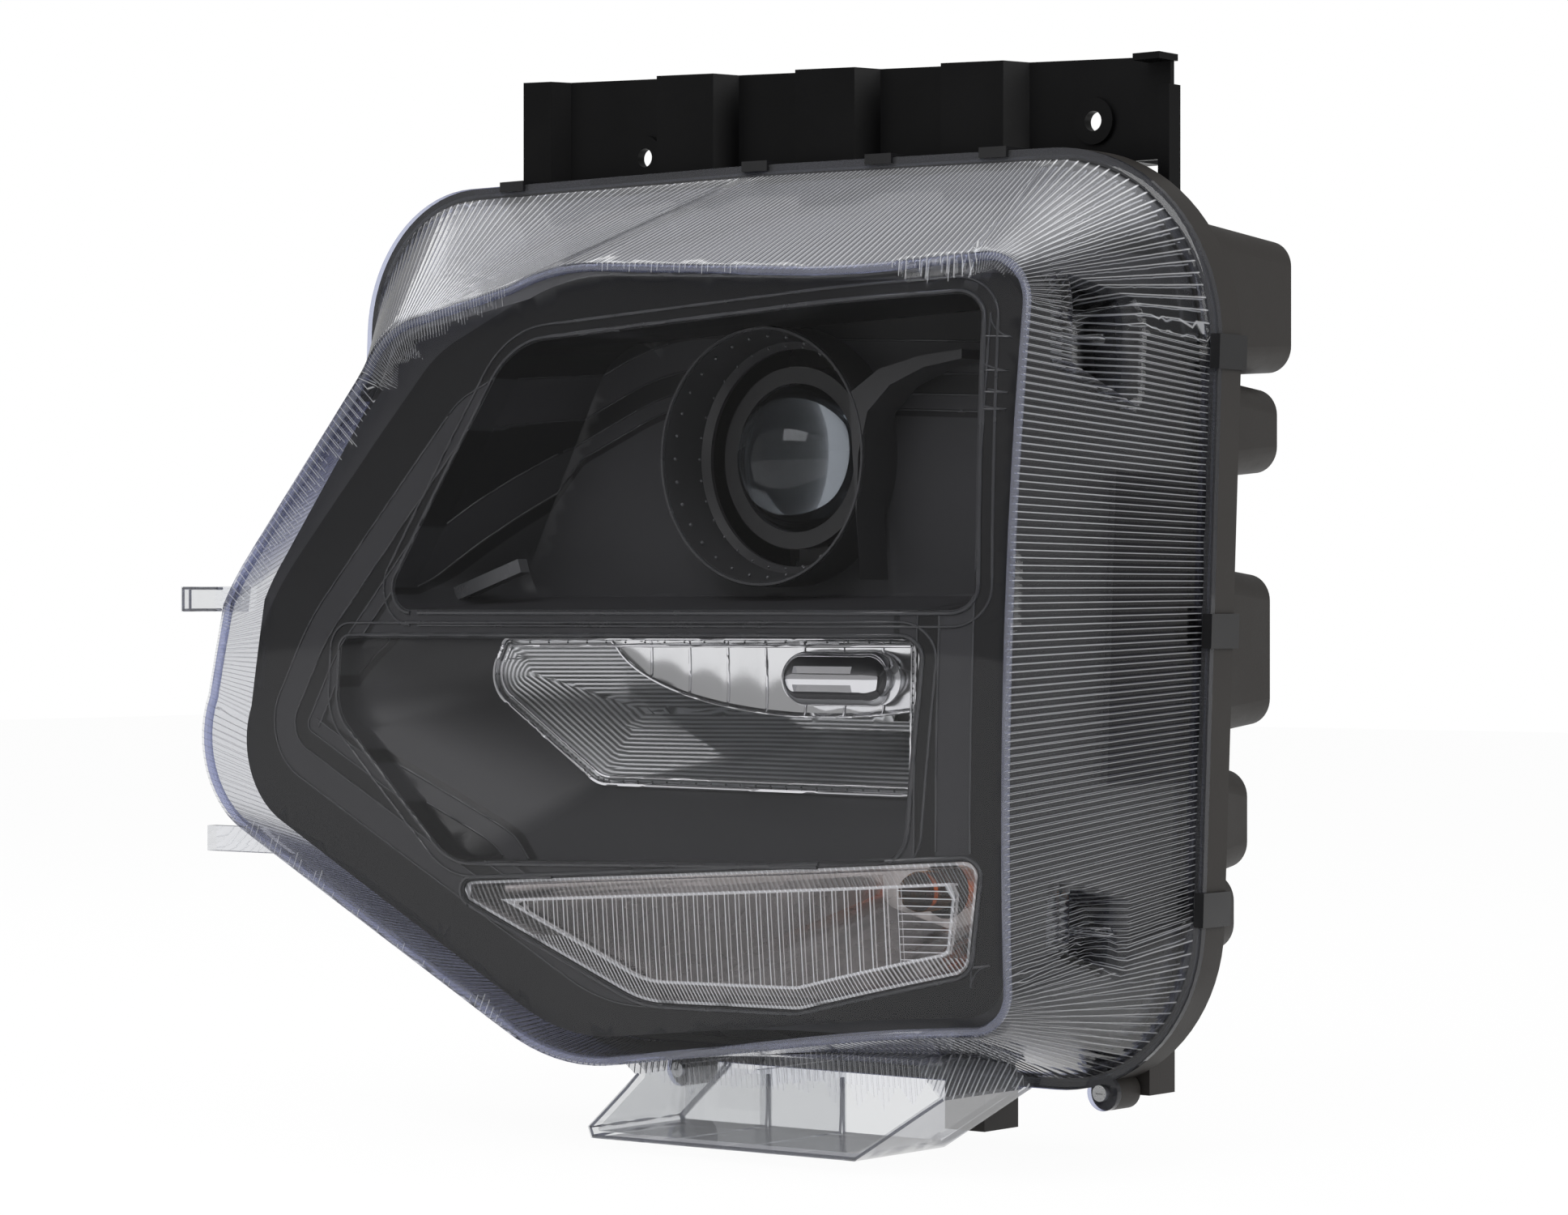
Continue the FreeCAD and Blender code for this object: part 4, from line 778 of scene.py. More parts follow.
def put(mesh: bpy.types.Mesh, name: str, looks: Sequence[Look], sharp: float,
        body: str) -> bpy.types.Object:
    """Put a mesh in the scene as a piece.

    Args:
        mesh: The mesh.
        name: The piece's name.
        looks: Finishes of its material slots.
        sharp: Angle in degrees above which an edge stays sharp.
        body: The body it rides on.

    Returns:
        The piece.
    """
    for look in looks:
        mesh.materials.append(look.value.material())
    smooth(mesh, sharp)
    piece = bpy.data.objects.new(name, mesh)
    bpy.context.scene.collection.objects.link(piece)
    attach(piece, body)
    return piece


def smooth(mesh: bpy.types.Mesh, sharp: float) -> None:
    """Shade a mesh smooth but for its sharp edges.

    Args:
        mesh: The mesh.
        sharp: Angle in degrees above which an edge stays sharp.
    """
    mesh.polygons.foreach_set("use_smooth", [True] * len(mesh.polygons))
    mesh.set_sharp_from_angle(angle=math.radians(sharp))
    mesh.update()


def bead(name: str, path: np.ndarray, radius: float, look: Look, closed: bool = True,
         body: str = "lamp", sides: int = 6) -> bpy.types.Object:
    """Raised line along a path.

    Args:
        name: The piece's name.
        path: Points in millimetres of the lamp's frame.
        radius: Half the line's width in millimetres.
        look: Its finish.
        closed: True if the path comes back to its start.
        body: The body it rides on.
        sides: Number of faces around the line.

    Returns:
        The piece.
    """
    count = len(path)
    run = np.roll(path, -1, 0) - np.roll(path, 1, 0)
    if not closed:
        run[0], run[-1] = path[1] - path[0], path[-1] - path[-2]
    run /= np.maximum(np.linalg.norm(run, axis=1, keepdims=True), 1e-9)
    side = np.cross(run, np.array((0.0, 1.0, 0.0)))
    side /= np.maximum(np.linalg.norm(side, axis=1, keepdims=True), 1e-9)
    up = np.cross(side, run)
    verts, faces = [], []
    for index in range(count):
        for turn in range(sides):
            angle = 2 * math.pi * turn / sides
            spot = path[index] + radius * (math.cos(angle) * side[index] + math.sin(angle) * up[index])
            verts.append(LAMP.at(*spot))
    for index in range(count if closed else count - 1):
        after = (index + 1) % count
        for turn in range(sides):
            other = (turn + 1) % sides
            faces.append((index * sides + turn, index * sides + other, after * sides + other,
                          after * sides + turn))
    if not closed:
        faces.append(tuple(reversed(range(sides))))
        faces.append(tuple((count - 1) * sides + turn for turn in range(sides)))
    return make_piece(name, verts, faces, [look], body, 60.0)


def within(ring: np.ndarray, points: np.ndarray) -> np.ndarray:
    """Which points lie inside a closed outline.

    Args:
        ring: x, z samples of the outline.
        points: x, z of the points.

    Returns:
        One truth value per point.
    """
    found = np.zeros(len(points), bool)
    for (x0, z0), (x1, z1) in zip(ring, np.roll(ring, -1, 0)):
        if z0 != z1:
            spans = (z0 > points[:, 1]) != (z1 > points[:, 1])
            found ^= spans & (points[:, 0] < (x1 - x0) * (points[:, 1] - z0) / (z1 - z0) + x0)
    return found


def at_depth(points: np.ndarray, depth: float) -> np.ndarray:
    """Outline samples as points at one depth of the lamp's frame."""
    return np.stack((points[:, 0], np.full(len(points), depth), points[:, 1]), 1)


def batches(count: int) -> List[slice]:
    """Slices that cut a long row of points into short ones."""
    return [slice(first, first + BATCH) for first in range(0, count, BATCH)]


def finer(source: bpy.types.Mesh, name: str, coarse: float) -> bpy.types.Mesh:
    """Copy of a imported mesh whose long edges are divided.

    Args:
        source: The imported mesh.
        name: The new mesh's name.
        coarse: Longest edge that stays whole, in millimetres.

    Returns:
        The finer mesh.
    """
    work = bmesh.new()
    work.from_mesh(source)
    bmesh.ops.remove_doubles(work, verts=work.verts[:], dist=1e-6)
    for _round in range(5):
        long_edges = [edge for edge in work.edges if edge.calc_length() * 1000 > coarse]
        if not long_edges:
            break
        bmesh.ops.subdivide_edges(work, edges=long_edges, cuts=1)
        bmesh.ops.triangulate(work, faces=[face for face in work.faces if len(face.verts) > 4])
    mesh = bpy.data.meshes.new(name)
    work.to_mesh(mesh)
    work.free()
    mesh.materials.clear()
    return mesh


def stand_in(mesh: bpy.types.Mesh, node: str, looks: Sequence[Look], sharp: float,
             body: str = "lamp") -> bpy.types.Object:
    """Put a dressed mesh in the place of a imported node.

    Args:
        mesh: The mesh.
        node: The node it stands for.
        looks: Finishes of its material slots.
        sharp: Angle in degrees above which an edge stays sharp.
        body: The body it rides on.

    Returns:
        The piece.
    """
    piece = put(mesh, mesh.name, looks, sharp, body)
    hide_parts(node)
    LOG.info("made %s for %s with %d faces", mesh.name, node, len(mesh.polygons))
    return piece


def edged_copy(source: bpy.types.Mesh, name: str, corners: Sequence[Corner], coarse: float) -> bpy.types.Mesh:
    """Finer copy of a mesh that knows how far each point lies from an outline.

    Args:
        source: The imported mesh.
        name: The new mesh's name.
        corners: The outline's corners.
        coarse: Longest edge that stays whole, in millimetres.

    Returns:
        The mesh, with the distance in metres stored as "edge".
    """
    mesh = finer(source, name, coarse)
    points = LAMP.back(read_points(mesh))
    ring = rounded(corners, FINE)
    after = np.roll(ring, -1, 0) - ring
    span = np.maximum((after ** 2).sum(1), 1e-9)
    marks = np.zeros(len(points))
    for part in batches(len(points)):
        gap = points[part][:, None, (0, 2)] - ring[None]
        way = np.clip((gap * after[None]).sum(2) / span[None], 0, 1)
        marks[part] = np.sqrt(((gap - way[:, :, None] * after[None]) ** 2).sum(2).min(1)) / 1000
    store(mesh, "edge", marks)
    return mesh


class Relief:
    """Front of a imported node, onto which lines are laid."""

    def __init__(self, node: bpy.types.Object) -> None:
        """Index the node's faces.

        Args:
            node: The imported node.
        """
        mesh = node.data
        self.tree = BVHTree.FromPolygons([vert.co for vert in mesh.vertices],
                                         [face.vertices for face in mesh.polygons])

    def depth(self, x: float, z: float, deepest: float) -> Optional[float]:
        """Depth of the first surface behind a point seen from the front.

        Args:
            x: Place across, in millimetres.
            z: Place up, in millimetres.
            deepest: Surfaces behind this depth don't count.

        Returns:
            The depth in millimetres, or None.
        """
        spot = self.tree.ray_cast(LAMP.at(x, RAY_START, z), Vector((0, 1, 0)))[0]
        if spot is None:
            return None
        depth = spot.y * 1000 + LAMP.datum[1]
        return depth if depth < deepest else None

    def runs(self, outline: np.ndarray, deepest: float, lift: float) -> List[np.ndarray]:
        """Stretches of an outline that lie on the surface.

        Args:
            outline: x, z samples of a closed outline.
            deepest: Surfaces behind this depth don't count.
            lift: Distance in front of the surface.

        Returns:
            Each stretch as points of the lamp's frame.
        """
        found: List[np.ndarray] = []
        run: List[Point] = []
        for x, z in outline:
            depth = self.depth(x, z, deepest)
            if depth is None or (run and abs(depth - lift - run[-1][1]) > JUMP):
                if len(run) > FEWEST:
                    found.append(np.array(run))
                run = []
            if depth is not None:
                run.append((x, depth - lift, z))
        if len(run) > FEWEST:
            found.append(np.array(run))
        return found


def studs(name: str, places: np.ndarray, size: float, look: Look, body: str = "lamp") -> bpy.types.Object:
    """Small round beads at a row of places.

    Args:
        name: The piece's name.
        places: Points of the lamp's frame.
        size: Radius of each bead in millimetres.
        look: Their finish.
        body: The body they ride on.

    Returns:
        The piece.
    """
    work = bmesh.new()
    for place in places:
        made = bmesh.ops.create_icosphere(work, subdivisions=1, radius=size / 1000)
        bmesh.ops.translate(work, verts=made["verts"], vec=LAMP.at(*place))
    verts = [tuple(vert.co) for vert in work.verts]
    work.verts.index_update()
    faces = [tuple(vert.index for vert in face.verts) for face in work.faces]
    work.free()
    return make_piece(name, verts, faces, [look], body, 80.0)


@dataclass
class Cover:
    """Clear outer cover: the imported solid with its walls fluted."""

    flange: Sequence[Corner] = ((-256, 200, 66), (-20, 201, 300), (239, 197, 84), (225, -208, 72),
                                (-106, -208, 90), (-256, -122, 60), (-262, 58, 150))
    front: Sequence[Corner] = ((-96, 112, 60), (-15, 143, 150), (228, 131, 3), (218, -167, 3),
                               (5, -203, 110), (-254, -73, 45), (-204, 6, 150))
    front_y: float = -172.0
    coarse: float = 14.0
    wall_lean: float = 0.86
    window_y: float = -90.0
    window_grow: float = 6.0
    edge_radius: float = 2.0
    edge_sink: float = 1.1
    foot_edge_radius: float = 0.7
    foot_edge_sink: float = 1.8
    foot_edge_turn: float = 0.7
    foot_top_z: float = -206.0
    tab_x: float = -258.0
    rim_y: float = -3.2

    def build(self, nodes: Dict[str, bpy.types.Object]) -> None:
        """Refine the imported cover, mark its flutes and give it its finishes.

        Args:
            nodes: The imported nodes.
        """
        mesh = finer(nodes["outer_lens"].data, "clear_cover", self.coarse)
        self._mark(mesh)
        self._sort_faces(mesh)
        self._trim_edge(Relief(nodes["outer_lens"]))
        self._trim_foot(mesh)
        piece = stand_in(mesh, "outer_lens", (Look.COVER, Look.WALL, Look.RIM, Look.FOOT), 25.0)

    def _trim_edge(self, relief: "Relief") -> None:
        """Lay the bluish bead along the front edge.

        Args:
            relief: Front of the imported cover.
        """
        rear = offset(rounded(self.flange), -self.edge_radius)
        front = offset(rounded(self.front), -self.edge_radius)
        depths = np.full(len(rear), self.front_y)
        for _round in range(4):
            ring = rear + (depths / self.front_y)[:, None] * (front - rear)
            for index, (x, z) in enumerate(ring):
                depth = relief.depth(x, z, self.window_y / 2)
                if depth is not None:
                    depths[index] = depth
        path = np.stack((ring[:, 0], depths + self.edge_radius * self.edge_sink, ring[:, 1]), 1)
        bead("cover_edge", path, self.edge_radius, Look.EDGE)

    def _trim_foot(self, mesh: bpy.types.Mesh) -> None:
        """Lay thin dark lines along the edges of the foot and the side tabs.

        Args:
            mesh: The cover's mesh, its faces sorted.
        """
        work = bmesh.new()
        work.from_mesh(mesh)
        edges = [edge for edge in work.edges if len(edge.link_faces) == 2 and edge.is_convex
                 and edge.calc_face_angle(0) > self.foot_edge_turn
                 and {face.material_index for face in edge.link_faces} == {FOOT}]
        sink = self.foot_edge_radius * self.foot_edge_sink / 1000
        for number, path in enumerate(chains(edges, sink)):
            closed = bool(np.linalg.norm(path[0] - path[-1]) < 0.01)
            bead(f"foot_edge_{number}", LAMP.back(path[:-1] if closed else path), self.foot_edge_radius,
                 Look.RIB, closed)
        work.free()

    def _mark(self, mesh: bpy.types.Mesh) -> None:
        """Store how far along the rim each point lies, in metres.

        Args:
            mesh: The cover's mesh.
        """
        points = LAMP.back(read_points(mesh))
        rear, front = rounded(self.flange), rounded(self.front)
        middle = (rear + front) / 2
        steps = np.linalg.norm(np.roll(middle, -1, 0) - middle, axis=1)
        along_rim = np.concatenate(([0.0], np.cumsum(steps)))[:-1] / 1000
        share = np.clip(points[:, 1] / self.front_y, 0, 1)
        marks = np.zeros(len(points), np.float32)
        for part in batches(len(points)):
            ring = rear[None] + share[part, None, None] * (front - rear)[None]
            gap = ring - points[part][:, None, (0, 2)]
            near = (gap ** 2).sum(2).argmin(1)
            rows = np.arange(len(near))
            here, after = ring[rows, near], ring[rows, (near + 1) % len(rear)]
            run = after - here
            way = ((points[part][:, (0, 2)] - here) * run).sum(1) / np.maximum((run ** 2).sum(1), 1e-9)
            marks[part] = along_rim[near] + np.clip(way, -1, 1) * steps[near] / 1000
        store_corners(mesh, "along", marks, float(steps.sum()) / 1000)
        store(mesh, "front", (points[:, 1] - self.front_y) / 1000)

    def _sort_faces(self, mesh: bpy.types.Mesh) -> None:
        """Give each face its finish: clear front, fluted wall, rim or foot.

        Args:
            mesh: The cover's mesh.
        """
        centres = LAMP.back(np.array([tuple(face.center) for face in mesh.polygons]))
        ring = offset(rounded(self.front), self.window_grow)
        window = within(ring, centres[:, (0, 2)]) & (centres[:, 1] < self.window_y)
        flat = np.abs(np.array([face.normal.y for face in mesh.polygons])) > self.wall_lean
        kinds = np.where(window & flat, FRONT, WALL)
        kinds[(centres[:, 2] < self.foot_top_z) | (centres[:, 0] < self.tab_x)] = FOOT
        kinds[centres[:, 1] > self.rim_y] = RIM
        mesh.polygons.foreach_set("material_index", kinds.astype(np.int32))


def chains(edges: Sequence[bmesh.types.BMEdge], sink: float) -> List[np.ndarray]:
    """Join edges that share points into paths.

    Args:
        edges: The edges.
        sink: How far the paths lie below the surface, in metres.

    Returns:
        Points of each path, in metres.
    """
    links: Dict[bmesh.types.BMVert, List[bmesh.types.BMEdge]] = {}
    for edge in edges:
        for vert in edge.verts:
            links.setdefault(vert, []).append(edge)
    unused = set(edges)
    paths = []
    starts = [vert for vert, met in links.items() if len(met) != 2] + list(links)
    for start in starts:
        vert, path = start, [tuple(start.co - start.normal * sink)]
        while True:
            step = next((edge for edge in links[vert] if edge in unused), None)
            if step is None:
                break
            unused.discard(step)
            vert = step.other_vert(vert)
            path.append(tuple(vert.co - vert.normal * sink))
            if vert is start:
                break
        if len(path) > 2:
            paths.append(np.array(path))
    return paths


def read_points(mesh: bpy.types.Mesh) -> np.ndarray:
    """All points of a mesh, as rows of metres.

    Args:
        mesh: The mesh.

    Returns:
        The points, one a row.
    """
    flat = np.zeros(len(mesh.vertices) * 3, np.float32)
    mesh.vertices.foreach_get("co", flat)
    return flat.reshape(-1, 3).astype(float)


def store(mesh: bpy.types.Mesh, name: str, values: np.ndarray) -> None:
    """Store one number a point on a mesh."""
    layer = mesh.attributes.new(name, "FLOAT", "POINT")
    layer.data.foreach_set("value", values.astype(np.float32))


def store_corners(mesh: bpy.types.Mesh, name: str, values: np.ndarray, lap: float) -> None:
    """Store a number that runs round a closed rim, unbroken within each face.

    Args:
        mesh: The mesh.
        name: Name of the number.
        values: The number at each point.
        lap: The number's length of one turn.
    """
    corners = np.zeros(len(mesh.loops), np.int32)
    mesh.loops.foreach_get("vertex_index", corners)
    starts = np.zeros(len(mesh.polygons), np.int32)
    counts = np.zeros(len(mesh.polygons), np.int32)
    mesh.polygons.foreach_get("loop_start", starts)
    mesh.polygons.foreach_get("loop_total", counts)
    found = values[corners]
    first = np.repeat(found[starts], counts)
    found -= lap * np.round((found - first) / lap)
    layer = mesh.attributes.new(name, "FLOAT", "CORNER")
    layer.data.foreach_set("value", found.astype(np.float32))


# ---- Sub-assemblies -------------------------------------------------------------------

def dress(nodes: Dict[str, bpy.types.Object], look: Look, *names: str) -> None:
    """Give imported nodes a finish.

    Args:
        nodes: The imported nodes.
        look: The finish.
        names: The nodes that take it.
    """
    for name in names:
        node = nodes[name]
        if not node.material_slots:
            node.data.materials.append(None)
        for slot in node.material_slots:
            slot.material = look.value.material()
        LOG.info("dressed %s as %s", name, look.name.lower())


@dataclass
class Housing:
    """Rear shell with what is fixed to its outside."""

    def build(self, nodes: Dict[str, bpy.types.Object]) -> None:
        """Dress the shell, clips, bracket, plug and caps.

        Args:
            nodes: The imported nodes.
        """
        dress(nodes, Look.HOUSING, "rear_housing")
        dress(nodes, Look.RUBBER, "lens_seal", "vent_caps", "projector_cap_seal", "lower_cap_seal")
        dress(nodes, Look.CLIP, "retaining_clips")
        dress(nodes, Look.BRACKET, "top_bracket")
        dress(nodes, Look.STEEL, "bracket_screws", "lens_screws", "bezel_screws")
        dress(nodes, Look.BLACK, "main_connector", "projector_cap", "lower_cap", "adjuster_case")
        dress(nodes, Look.BRASS, "connector_pins")


SIGNAL_WINDOW: Sequence[Corner] = ((-96, -124, 5), (204, -104, 6), (197, -151, 8), (118, -170, 30),
                                   (28, -172, 60))


@dataclass
class Bezel:
    """Dark inner frame with its moulded contour lines."""

    front: Sequence[Corner] = ((-86, 104, 50), (-12, 135, 140), (221, 124, 3), (211, -160, 3),
                               (8, -190, 100), (-228, -70, 40), (-184, 2, 140))
    upper: Sequence[Corner] = ((-126, -1, 10), (-46, 117, 40), (204, 130, 10), (204, -1, 10))
    lower: Sequence[Corner] = ((-152, -14, 6), (182, -13, 8), (172, -106, 14), (-85, -114, 30),
                               (-155, -48, 20))
    steps: Sequence[float] = (-13.0, -27.0, -36.0, -43.0)
    step_radius: float = 0.55
    lip_gap: float = 1.4
    lip_radius: float = 1.0
    contour_gap: float = 7.0
    contour_radius: float = 0.7
    deepest_y: float = -60.0
    lift: float = 0.1
    bar: Sequence[Tuple[float, float]] = ((-138, 0), (-70, 22), (-68, 16), (-124, -2))
    bar_y: Tuple[float, float] = (-106.0, -100.0)
    wing_y: Tuple[float, float] = (-96.0, -76.0)
    wing: Sequence[Tuple[float, float]] = ((118, 12), (116, 40), (117, 66), (122, 84), (134, 95), (152, 102),
                                           (172, 105), (172, 109), (150, 107), (128, 102), (112, 92))

    def build(self, nodes: Dict[str, bpy.types.Object]) -> None:
        """Dress the frame and lay its contour lines.

        Args:
            nodes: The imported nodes.
        """
        mesh = edged_copy(nodes["bezel"].data, "bezel_frame", self.front, 11.0)
        stand_in(mesh, "bezel", (Look.BEZEL,), 28.0)
        relief = Relief(nodes["bezel"])
        ring = rounded(self.front, FINE)
        for number, step in enumerate(self.steps):
            self._line(relief, f"bezel_step_{number}", offset(ring, step), self.step_radius)
        for name, corners in (("upper", self.upper), ("lower", self.lower), ("signal", SIGNAL_WINDOW)):
            ring = rounded(corners, FINE)
            self._line(relief, f"bezel_{name}_lip", offset(ring, self.lip_gap), self.lip_radius)
            if name != "signal":
                outline = offset(ring, self.contour_gap)
                self._line(relief, f"bezel_{name}_contour", outline, self.contour_radius)
        self._plate("chamber_bar", self.bar, self.bar_y, Look.BEZEL_BAR)
        self._plate("chamber_wing", self.wing, self.wing_y, Look.SHROUD)

    def _line(self, relief: Relief, name: str, outline: np.ndarray, radius: float) -> None:
        """Lay one contour line wherever the frame's front carries it."""
        for number, path in enumerate(relief.runs(outline, self.deepest_y, self.lift)):
            bead(f"{name}_{number}", path, radius, Look.BEZEL_LINE, False)

    @staticmethod
    def _plate(name: str, outline: Sequence[Tuple[float, float]], depths: Tuple[float, float],
               look: Look) -> None:
        """Moulded rib that stands out of a chamber.

        Args:
            name: The piece's name.
            outline: Its x, z corners.
            depths: Its front and its back.
            look: Its finish.
        """
        count = len(outline)
        verts = [LAMP.at(x, depth, z) for depth in depths for x, z in outline]
        faces: List[Tuple[int, ...]] = [tuple(range(count)), tuple(reversed(range(count, 2 * count)))]
        faces += [(i, (i + 1) % count, (i + 1) % count + count, i + count) for i in range(count)]
        make_piece(name, verts, faces, [look], sharp=40.0)


@dataclass
class Projector:
    """Low beam projector with its ring, glass and works."""

    axis_x: float = 63.0
    axis_z: float = 66.0
    mouth_y: float = -95.5
    throat_y: float = -72.0
    mouth_radius: float = 56.0
    throat_radius: float = 49.0
    lip_radius: float = 1.0
    lip_steps: int = 96
    dots: int = 32
    mouth_dot_inset: float = 3.2
    mouth_dot_back: float = 5.0
    mouth_dot: float = 0.9
    throat_dot_rise: float = 6.0
    throat_dot: float = 0.7

    def build(self, nodes: Dict[str, bpy.types.Object]) -> None:
        """Dress the projector's pieces and add the ring's beads.

        Args:
            nodes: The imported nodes.
        """
        dress(nodes, Look.SHROUD, "projector_shroud")
        dress(nodes, Look.DARK_CAST, "lens_ring", "lens_holder")
        dress(nodes, Look.CAST, "carrier")
        dress(nodes, Look.BOWL, "reflector_bowl")
        dress(nodes, Look.OPTIC, "projector_lens")
        dress(nodes, Look.NYLON, "pivot_bushes", "ball_socket", "adjuster_drive")
        dress(nodes, Look.ZINC, "pivot_pins", "shutter_pin", "cutoff_shutter", "solenoid_plunger",
              "ball_stud")
        dress(nodes, Look.STEEL, "holder_screws", "shutter_spring")
        dress(nodes, Look.BLACK, "solenoid", "low_beam_base")
        dress(nodes, Look.BULB, "low_beam_bulb")
        lip = self._circle(self.mouth_radius, self.mouth_y, self.lip_steps)
        bead("ring_lip", lip, self.lip_radius, Look.BEZEL_LINE)
        self._dots("ring_dots", self.mouth_radius - self.mouth_dot_inset,
                   self.mouth_y + self.mouth_dot_back, self.mouth_dot)
        self._dots("throat_dots", self.throat_radius, self.throat_y - self.throat_dot_rise,
                   self.throat_dot)

    def _circle(self, radius: float, depth: float, count: int) -> np.ndarray:
        """Points round the projector's axis.

        Args:
            radius: Its radius.
            depth: Its depth.
            count: Number of points.

        Returns:
            Points of the lamp's frame.
        """
        turns = np.arange(count) * 2 * math.pi / count
        return np.stack((self.axis_x + radius * np.cos(turns), np.full(count, depth),
                         self.axis_z + radius * np.sin(turns)), 1)

    def _dots(self, name: str, radius: float, depth: float, size: float) -> None:
        """Ring of small moulded beads."""
        studs(name, self._circle(radius, depth, self.dots), size, Look.BEZEL_BAR)


@dataclass
class DaytimeLamp:
    """Daytime running light: reflector, bulb shield and bulb."""

    mouth: Sequence[Corner] = ((-96, -13, 6), (142, -12, 4), (141, -82, 4), (-39, -81, 20), (-108, -36, 16))
    mouth_y: float = -86.0
    bowl_centre: Tuple[float, float] = (84.0, -10.0)
    bowl_reach: Tuple[float, float] = (118.0, 38.0)
    bowl_front_y: float = -79.0
    bowl_deep: float = 4.5
    bowl_lean: float = 0.09
    lean_from_z: float = -48.0
    bowl_right: float = 139.0
    bowl_top: float = -15.0
    bowl_least: float = 0.5
    scallop: float = 1.6
    bowl_rows: int = 18
    facets: int = 8
    facet_steps: int = 8
    ridge: float = 0.55
    ridge_lift: float = 0.3
    bowl_lip: float = 0.6
    bowl_lip_lift: float = 0.4
    trims: Sequence[Tuple[str, float, float, float]] = (("outer", 1.2, 0.0, 1.1), ("inner", 4.6, 1.5, 0.7))
    dot_inset: float = 3.0
    dot_back: float = 0.6
    dot: float = 0.55

    def build(self, nodes: Dict[str, bpy.types.Object]) -> None:
        """Dress the daytime lamp and add the bowl's facets and the mouth's trim.

        Args:
            nodes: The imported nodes.
        """
        mesh = edged_copy(nodes["drl_reflector"].data, "daytime_reflector", self.mouth, 8.0)
        stand_in(mesh, "drl_reflector", (Look.FLUTED,), 30.0)
        dress(nodes, Look.CHROME, "bulb_shield")
        dress(nodes, Look.BLACK, "drl_socket")
        dress(nodes, Look.BULB, "drl_bulb")
        ring = rounded(self.mouth, 40)
        for name, inset, back, radius in self.trims:
            path = at_depth(offset(ring, -inset), self.mouth_y + back)
            bead(f"mouth_trim_{name}", path, radius, Look.CHROME)
        dots = at_depth(offset(rounded(self.mouth, 40, 6), -self.dot_inset), self.mouth_y + self.dot_back)
        studs("mouth_dots", dots[::2], self.dot, Look.BEZEL_BAR)
        self._bowl()

    def _bowl(self) -> None:
        """Faceted bright bowl behind the bulb shield."""
        across, up = self.facet_steps * self.facets, self.bowl_rows
        left, right = self.bowl_centre[0] - self.bowl_reach[0], self.bowl_right
        verts, faces = [], []
        for row in range(up + 1):
            for column in range(across + 1):
                x = left + (right - left) * column / across
                u = (x - self.bowl_centre[0]) / self.bowl_reach[0]
                low = self.bowl_centre[1] - self.bowl_reach[1] * math.sqrt(max(0.0, 1 - u * u))
                bottom = min(low, self.bowl_top - self.bowl_least)
                z = self.bowl_top + (bottom - self.bowl_top) * row / up
                v = (z - self.bowl_centre[1]) / self.bowl_reach[1]
                facet = (column + 0.5) / across * self.facets
                scallop = self.scallop * (abs(facet - math.floor(facet) - 0.5) * 2) ** 2
                deep = self.bowl_deep * max(0.0, 1 - u * u - v * v) ** 0.5
                lean = self.bowl_lean * (z - self.lean_from_z)
                y = self.bowl_front_y + deep - lean - scallop * (deep / self.bowl_deep)
                verts.append(LAMP.at(x, y, z))
        for row in range(up):
            for column in range(across):
                here = row * (across + 1) + column
                faces.append((here, here + 1, here + across + 2, here + across + 1))
        make_piece("daytime_bowl", verts, faces, [Look.REFLECTOR], sharp=12.0)
        rows = LAMP.back(np.array([tuple(vert) for vert in verts])).reshape(up + 1, across + 1, 3)
        for facet in range(1, self.facets):
            ridge = rows[:, facet * self.facet_steps] + np.array((0.0, -self.ridge_lift, 0.0))
            bead(f"bowl_ridge_{facet}", ridge, self.ridge, Look.CHROME, False)
        lip = rows[-1] + np.array((0.0, -self.bowl_lip_lift, 0.0))
        bead("bowl_lip", lip, self.bowl_lip, Look.CHROME, False)


@dataclass
class TurnSignal:
    """Turn signal: clear inner lens, reflector and amber bulb."""

    def build(self, nodes: Dict[str, bpy.types.Object]) -> None:
        """Dress the turn signal.

        Args:
            nodes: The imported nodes.
        """
        mesh = edged_copy(nodes["turn_lens"].data, "signal_lens", SIGNAL_WINDOW, 7.0)
        stand_in(mesh, "turn_lens", (Look.SIGNAL,), 30.0)
        dress(nodes, Look.SIGNAL_BACK, "turn_reflector")
        dress(nodes, Look.BLACK, "turn_socket")
        dress(nodes, Look.AMBER, "turn_bulb")


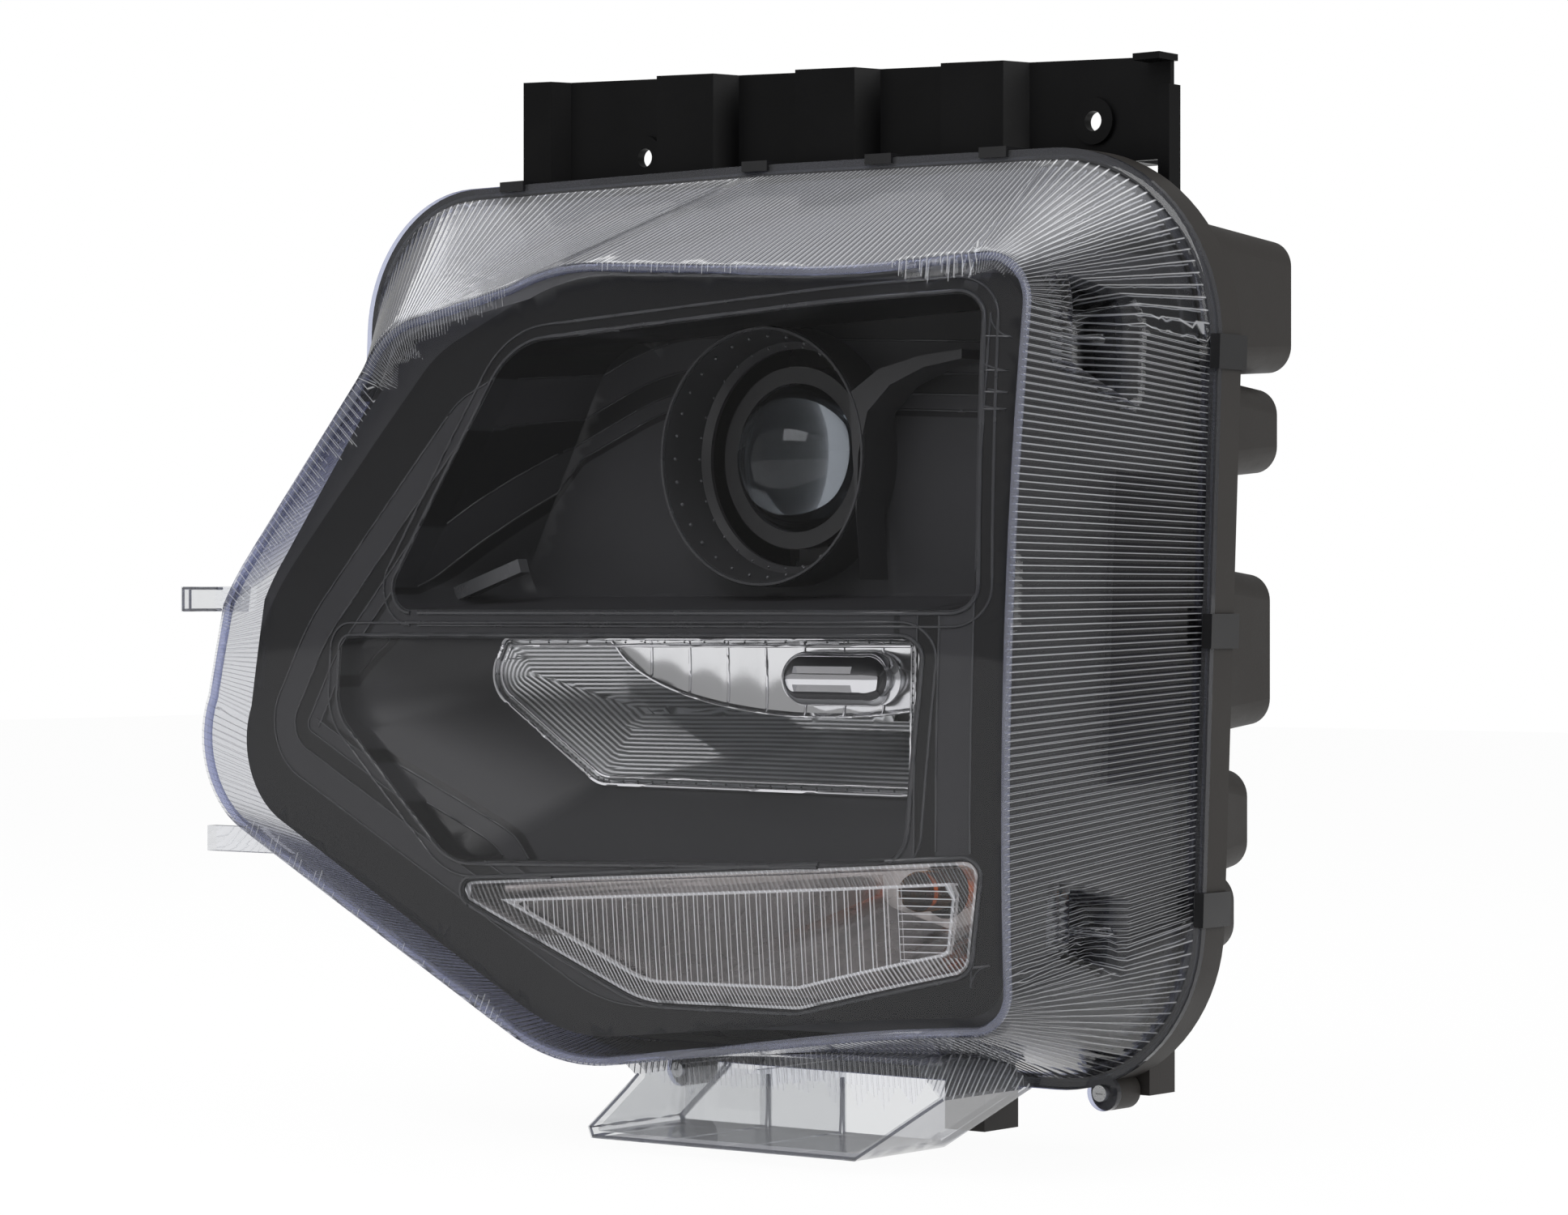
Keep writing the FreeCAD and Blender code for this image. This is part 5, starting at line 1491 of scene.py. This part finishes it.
@dataclass
class Studio:
    """Floor, backdrop, soft lamps and camera."""

    eye: Point = (1282.4, -1612.2, 0.0)
    aim: Point = (0.0, 0.0, 0.0)
    lens: float = 102.3
    sensor: float = 36.0
    world_light: float = 0.36
    lit_point: Point = (0.0, -60.0, 0.0)
    floor_z: float = -241.0
    floor_half: float = 6.0
    lamps: Sequence[Tuple[str, Point, float, float]] = (
        ("key_lamp", (0.2, -1.7, 1.3), 1.4, 26.0),
        ("side_lamp", (1.9, 0.1, 0.6), 1.2, 14.0),
        ("left_lamp", (-1.5, 0.3, 1.3), 1.3, 9.0))

    def build(self) -> None:
        """Make the studio."""
        scene = bpy.context.scene
        scene.view_settings.view_transform = "Standard"
        self._floor()
        self._world(scene)
        for lamp in self.lamps:
            self._lamp(*lamp)
        self._camera(scene)

    def _floor(self) -> None:
        """Lay a pale floor under the lamp."""
        level, half = LAMP.at(0, 0, self.floor_z).z, self.floor_half
        mesh = bpy.data.meshes.new("floor")
        corners = [(x, y, level) for x, y in ((-half, -half), (half, -half), (half, half), (-half, half))]
        mesh.from_pydata(corners, [], [(0, 1, 2, 3)])
        mesh.materials.append(Backdrop("floor_white").material())
        floor = bpy.data.objects.new("floor", mesh)
        bpy.context.scene.collection.objects.link(floor)

    def _world(self, scene: bpy.types.Scene) -> None:
        """Light the room evenly, white to the eye.

        Args:
            scene: The scene to light.
        """
        world = bpy.data.worlds.new("studio")
        scene.world = world
        graph = Graph(world)
        eye = graph.node("ShaderNodeLightPath", output="Is Camera Ray")
        eye = eye.most(graph.node("ShaderNodeLightPath", output="Is Transmission Ray"))
        strength = eye * (1.0 - self.world_light) + self.world_light
        light = graph.node("ShaderNodeBackground", {}, {"Color": (1.0, 1.0, 1.0), "Strength": strength})
        graph.node("ShaderNodeOutputWorld", {}, {"Surface": light})

    def _lamp(self, name: str, place: Point, size: float, power: float) -> None:
        """Hang a soft square lamp that looks at the headlight.

        Args:
            name: The lamp's name.
            place: Where it hangs, in metres.
            size: Its side in metres.
            power: Its power in watts.
        """
        light = bpy.data.lights.new(name, "AREA")
        light.shape = "SQUARE"
        light.size = size
        light.energy = power
        lamp = bpy.data.objects.new(name, light)
        bpy.context.scene.collection.objects.link(lamp)
        lamp.location = Vector(place)
        lamp.rotation_euler = (LAMP.at(*self.lit_point) - lamp.location).to_track_quat("-Z", "Y").to_euler()

    def _camera(self, scene: bpy.types.Scene) -> None:
        """Stand the camera at its place.

        Args:
            scene: The scene that looks through it.
        """
        data = bpy.data.cameras.new("view")
        data.lens = self.lens
        data.sensor_width = self.sensor
        camera = bpy.data.objects.new("view", data)
        scene.collection.objects.link(camera)
        camera.location = LAMP.at(*self.eye)
        camera.rotation_euler = (LAMP.at(*self.aim) - camera.location).to_track_quat("-Z", "Y").to_euler()
        scene.camera = camera


def main() -> None:
    """Dress the whole lamp in its studio."""
    logging.basicConfig(level=logging.INFO, format="%(name)s: %(message)s")
    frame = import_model()
    nodes = frame["nodes"]
    Studio().build()
    for part in (Cover(), Housing(), Bezel(), Projector(), DaytimeLamp(), TurnSignal()):
        part.build(nodes)
        LOG.info("finished %s", type(part).__name__)


if __name__ == "__main__":
    main()
